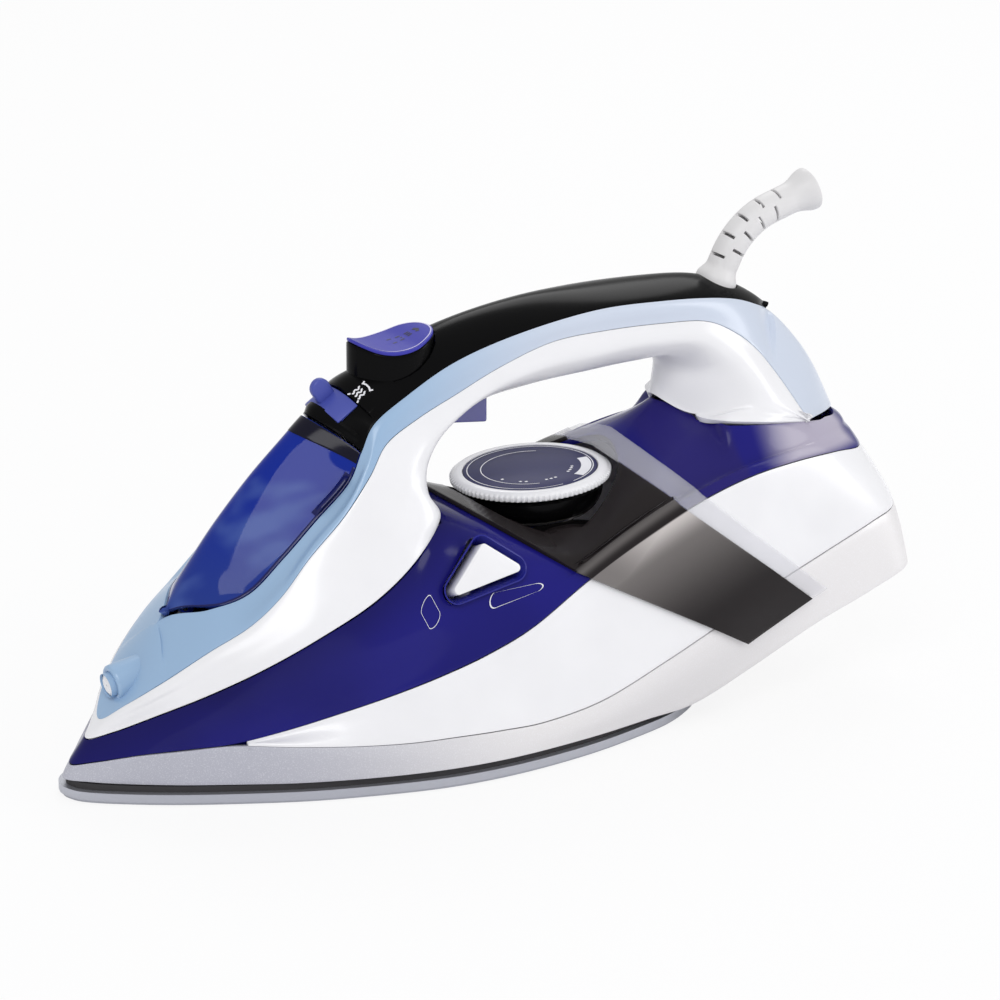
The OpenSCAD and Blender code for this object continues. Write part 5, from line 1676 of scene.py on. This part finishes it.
@dataclass
class SleeveUnit:
    """The slotted sleeve that guides the cord."""

    base: tuple[float, float, float] = (139.0, 0.0, 144.2)
    lean: float = 27.0
    straight: float = 9.0
    bend: float = 30.0
    turn_by: float = 46.0
    end: float = 17.5
    sunk: float = 2.5
    radius: float = 5.6
    mouth: float = 7.8
    slot_start: float = 7.5
    slot_pitch: float = 3.5
    slot_width: float = 1.0
    slot_bands: int = 9
    slot_reach: float = 0.4

    @property
    def arc(self) -> float:
        """Length of the bend along the middle line."""
        return math.radians(self.turn_by) * self.bend

    @property
    def full(self) -> float:
        """Length of the whole middle line."""
        return self.straight + self.arc + self.end

    def place(self) -> Matrix:
        """Returns the sleeve's frame at its foot."""
        return shift(*self.base) @ turn("Y", self.lean)

    def opening(self) -> bpy.types.Object:
        """Returns the hole that the sleeve takes out of the top cover."""
        mould = Moulding()
        mould.prism(circle(7.9, 64), -12, 18, self.place())
        mould.face_from(self.place() @ Vector((0, 0, 0.003)))
        return mould.piece("sleeve_opening")

    def _along(self, distance: float) -> Matrix:
        """Returns the frame some millimetres along the sleeve's middle line: straight, bent, straight."""
        if distance <= self.straight:
            return self.place() @ shift(0, 0, distance)
        centre = self.place() @ shift(self.bend, 0, self.straight)
        if distance <= self.straight + self.arc:
            angle = math.degrees((distance - self.straight) / self.bend)
            return centre @ turn("Y", angle) @ shift(-self.bend, 0, 0)
        return (centre @ turn("Y", self.turn_by) @ shift(-self.bend, 0, distance - self.straight - self.arc))

    def _radius(self, distance: float) -> float:
        """Returns the sleeve's radius some millimetres along it."""
        foot = 1.85 * (1 - smooth(distance / 5.0))
        flare = (self.mouth - self.radius) * smooth((distance - self.full + 10.0) / 9.5) ** 1.3
        return self.radius + foot + flare

    def build(self) -> None:
        """Builds the sleeve: a tube with staggered slots."""
        cells, round_cells = 2 * int(self.full + self.sunk), 64

        def place(s: float, t: float) -> Vector:
            """Goes along the sleeve and round it."""
            d = lerp(-self.sunk, self.full, s)
            r = self._radius(d)
            a = 2 * math.pi * t
            return self._along(d) @ (Vector((r * math.cos(a), r * math.sin(a), 0)) * MM)

        def slotted(s: float, t: float) -> bool:
            """Tells whether a slot passes here: two in each band, turned by a quarter from band to band."""
            band, into = divmod(lerp(-self.sunk, self.full, s) - self.slot_start, self.slot_pitch)
            if not (0 <= band < self.slot_bands and into < self.slot_width):
                return False
            return (t * 2 + 0.125 + 0.5 * (band % 2)) % 1.0 < self.slot_reach

        mould = Moulding()
        made = mould.grid(cells, round_cells, lambda s, t: Vector((s, t, 0)))
        gone = [f for f in {f for v in made for f in v.link_faces}
                if slotted(f.calc_center_median().x, f.calc_center_median().y)]
        bmesh.ops.delete(mould.bm, geom=gone, context="FACES")
        for v in mould.bm.verts:
            v.co = place(v.co.x, v.co.y)
        mould.weld(1e-6)
        mould.face_out(lambda p: p - self._near(p))
        obj = mould.piece("sleeve_moulding")
        wall(obj, 1.6, 0.25)
        dress(obj, WHITE_RUBBER, Carrier.SLEEVE, "cord_sleeve")
        dress_nodes(BLACK_SATIN, "cord_socket")

    def _near(self, p: Vector) -> Vector:
        """Returns a point on the middle line close to p."""
        return min((self._along(d).translation for d in range(0, 52, 3)), key=lambda q: (q - p).length)


class InnerParts:
    """What is hidden inside the iron."""

    def build(self) -> None:
        """Finishes the inner nodes."""
        dress_nodes(CASTING, "heater_casting")
        dress_nodes(STEEL, "heating_element", "chamber_cover", "chamber_screws")
        dress_nodes(SHIELD, "heat_shield")
        dress_nodes(BRASS, "thermostat")
        dress_nodes(PRINT, "thermal_fuse", "nozzle_hose", "terminal_block")
        dress_nodes(WIRE, "mains_leads")
        dress_nodes(INNER, "handle_frame")


DIAL_UNIT = DialUnit()
CLEAN_UNIT = CleanUnit()
SPRAY_UNIT = SprayUnit()
LEVER_UNIT = LeverUnit()
SLEEVE_UNIT = SleeveUnit()


# ------------------------------------------------------------------ studio
@dataclass
class Studio:
    """The pale floor, the soft light and the camera."""

    target: tuple[float, float, float] = (0.031, 0.0, 0.075)
    azimuth: float = -30.0
    elevation: float = 18.0
    distance: float = 1.5
    lens: float = 156.6
    sideways: float = 0.0498
    upwards: float = 0.0138

    def camera(self) -> None:
        """Places the camera."""
        data = bpy.data.cameras.new("camera")
        data.lens, data.sensor_width = self.lens, 36.0
        data.shift_x, data.shift_y = self.sideways, self.upwards
        cam = bpy.data.objects.new("camera", data)
        bpy.context.scene.collection.objects.link(cam)
        a, e = math.radians(self.azimuth), math.radians(self.elevation)
        back = Vector((math.sin(a) * math.cos(e), -math.cos(a) * math.cos(e), math.sin(e)))
        cam.location = Vector(self.target) + back * self.distance
        cam.rotation_mode = "QUATERNION"
        cam.rotation_quaternion = (-back).to_track_quat("-Z", "Y")
        bpy.context.scene.camera = cam

    def floor(self) -> None:
        """Lays a plain pale floor."""
        mould = Moulding()
        bmesh.ops.create_grid(mould.bm, x_segments=1, y_segments=1, size=6.0)
        bmesh.ops.translate(mould.bm, vec=(0, 0, -0.0002), verts=mould.bm.verts[:])
        obj = mould.piece("floor")
        shader = Shader("pale_floor")
        shader.set("Base Color", rgb(240, 240, 242))
        shader.set("Roughness", 0.9)
        shader.set("Specular IOR Level", 0.1)
        path = shader.node("ShaderNodeLightPath", {})
        seen = Value(shader, path.outputs["Is Camera Ray"])
        seen = (seen + Value(shader, path.outputs["Is Transmission Ray"])).rise(0.0, 1.0)
        glow = shader.node("ShaderNodeEmission", {}, (1.0, 1.0, 1.0, 1.0), 1.0)
        mix = shader.node("ShaderNodeMixShader", {}, seen * 0.86)
        shader.tree.links.new(shader.bsdf.outputs[0], mix.inputs[1])
        shader.tree.links.new(glow.outputs[0], mix.inputs[2])
        shader.tree.links.new(mix.outputs[0], shader.tree.nodes["Material Output"].inputs["Surface"])
        obj.data.materials.append(shader.material)

    def world(self) -> None:
        """Surrounds the iron with a pale sky that only the camera sees as white."""
        world = bpy.data.worlds.new("studio")
        bpy.context.scene.world = world
        world.use_nodes = True
        tree = world.node_tree
        back = tree.nodes["Background"]
        back.inputs["Color"].default_value = (1.0, 1.0, 1.0, 1.0)
        back.inputs["Strength"].default_value = 0.6
        seen = tree.nodes.new("ShaderNodeBackground")
        seen.inputs["Strength"].default_value = 1.0
        seen.inputs["Color"].default_value = (1.0, 1.0, 1.0, 1.0)
        path = tree.nodes.new("ShaderNodeLightPath")
        mix = tree.nodes.new("ShaderNodeMixShader")
        tree.links.new(path.outputs["Is Camera Ray"], mix.inputs[0])
        tree.links.new(back.outputs[0], mix.inputs[1])
        tree.links.new(seen.outputs[0], mix.inputs[2])
        tree.links.new(mix.outputs[0], tree.nodes["World Output"].inputs["Surface"])

    def lamp(self, name: str, place: tuple[float, float, float], size: tuple[float, float],
             watts: float) -> None:
        """Hangs a softbox that looks at the iron.

        Args:
            name: the lamp's name.
            place: where it hangs, in metres.
            size: its width and height in metres.
            watts: its power.
        """
        data = bpy.data.lights.new(name, "AREA")
        data.shape, data.size, data.size_y, data.energy = "RECTANGLE", size[0], size[1], watts
        obj = bpy.data.objects.new(name, data)
        bpy.context.scene.collection.objects.link(obj)
        obj.location = place
        aim = Vector(self.target) - Vector(place)
        obj.rotation_mode = "QUATERNION"
        obj.rotation_quaternion = aim.to_track_quat("-Z", "Y")

    def build(self) -> None:
        """Sets up the studio."""
        self.floor()
        self.world()
        self.lamp("key_softbox", (-0.9, -1.2, 1.5), (1.2, 0.9), 14.0)
        self.lamp("rear_softbox", (0.9, 1.0, 1.4), (1.2, 0.8), 9.0)
        self.lamp("heel_softbox", (1.4, -0.9, 0.7), (0.6, 0.9), 6.0)
        self.camera()
        bpy.context.scene.view_settings.view_transform = "Standard"


def main() -> None:
    """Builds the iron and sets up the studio."""
    logging.basicConfig(level=logging.INFO, format="%(name)s: %(message)s")
    for unit in (BaseUnit(), TankUnit(), HandleUnit(), DoorUnit(), DIAL_UNIT, SPRAY_UNIT, LEVER_UNIT,
                 TriggerUnit(), CLEAN_UNIT, SLEEVE_UNIT, InnerParts(), Studio()):
        LOG.info("building %s", type(unit).__name__)
        unit.build()


if __name__ == "__main__":
    main()
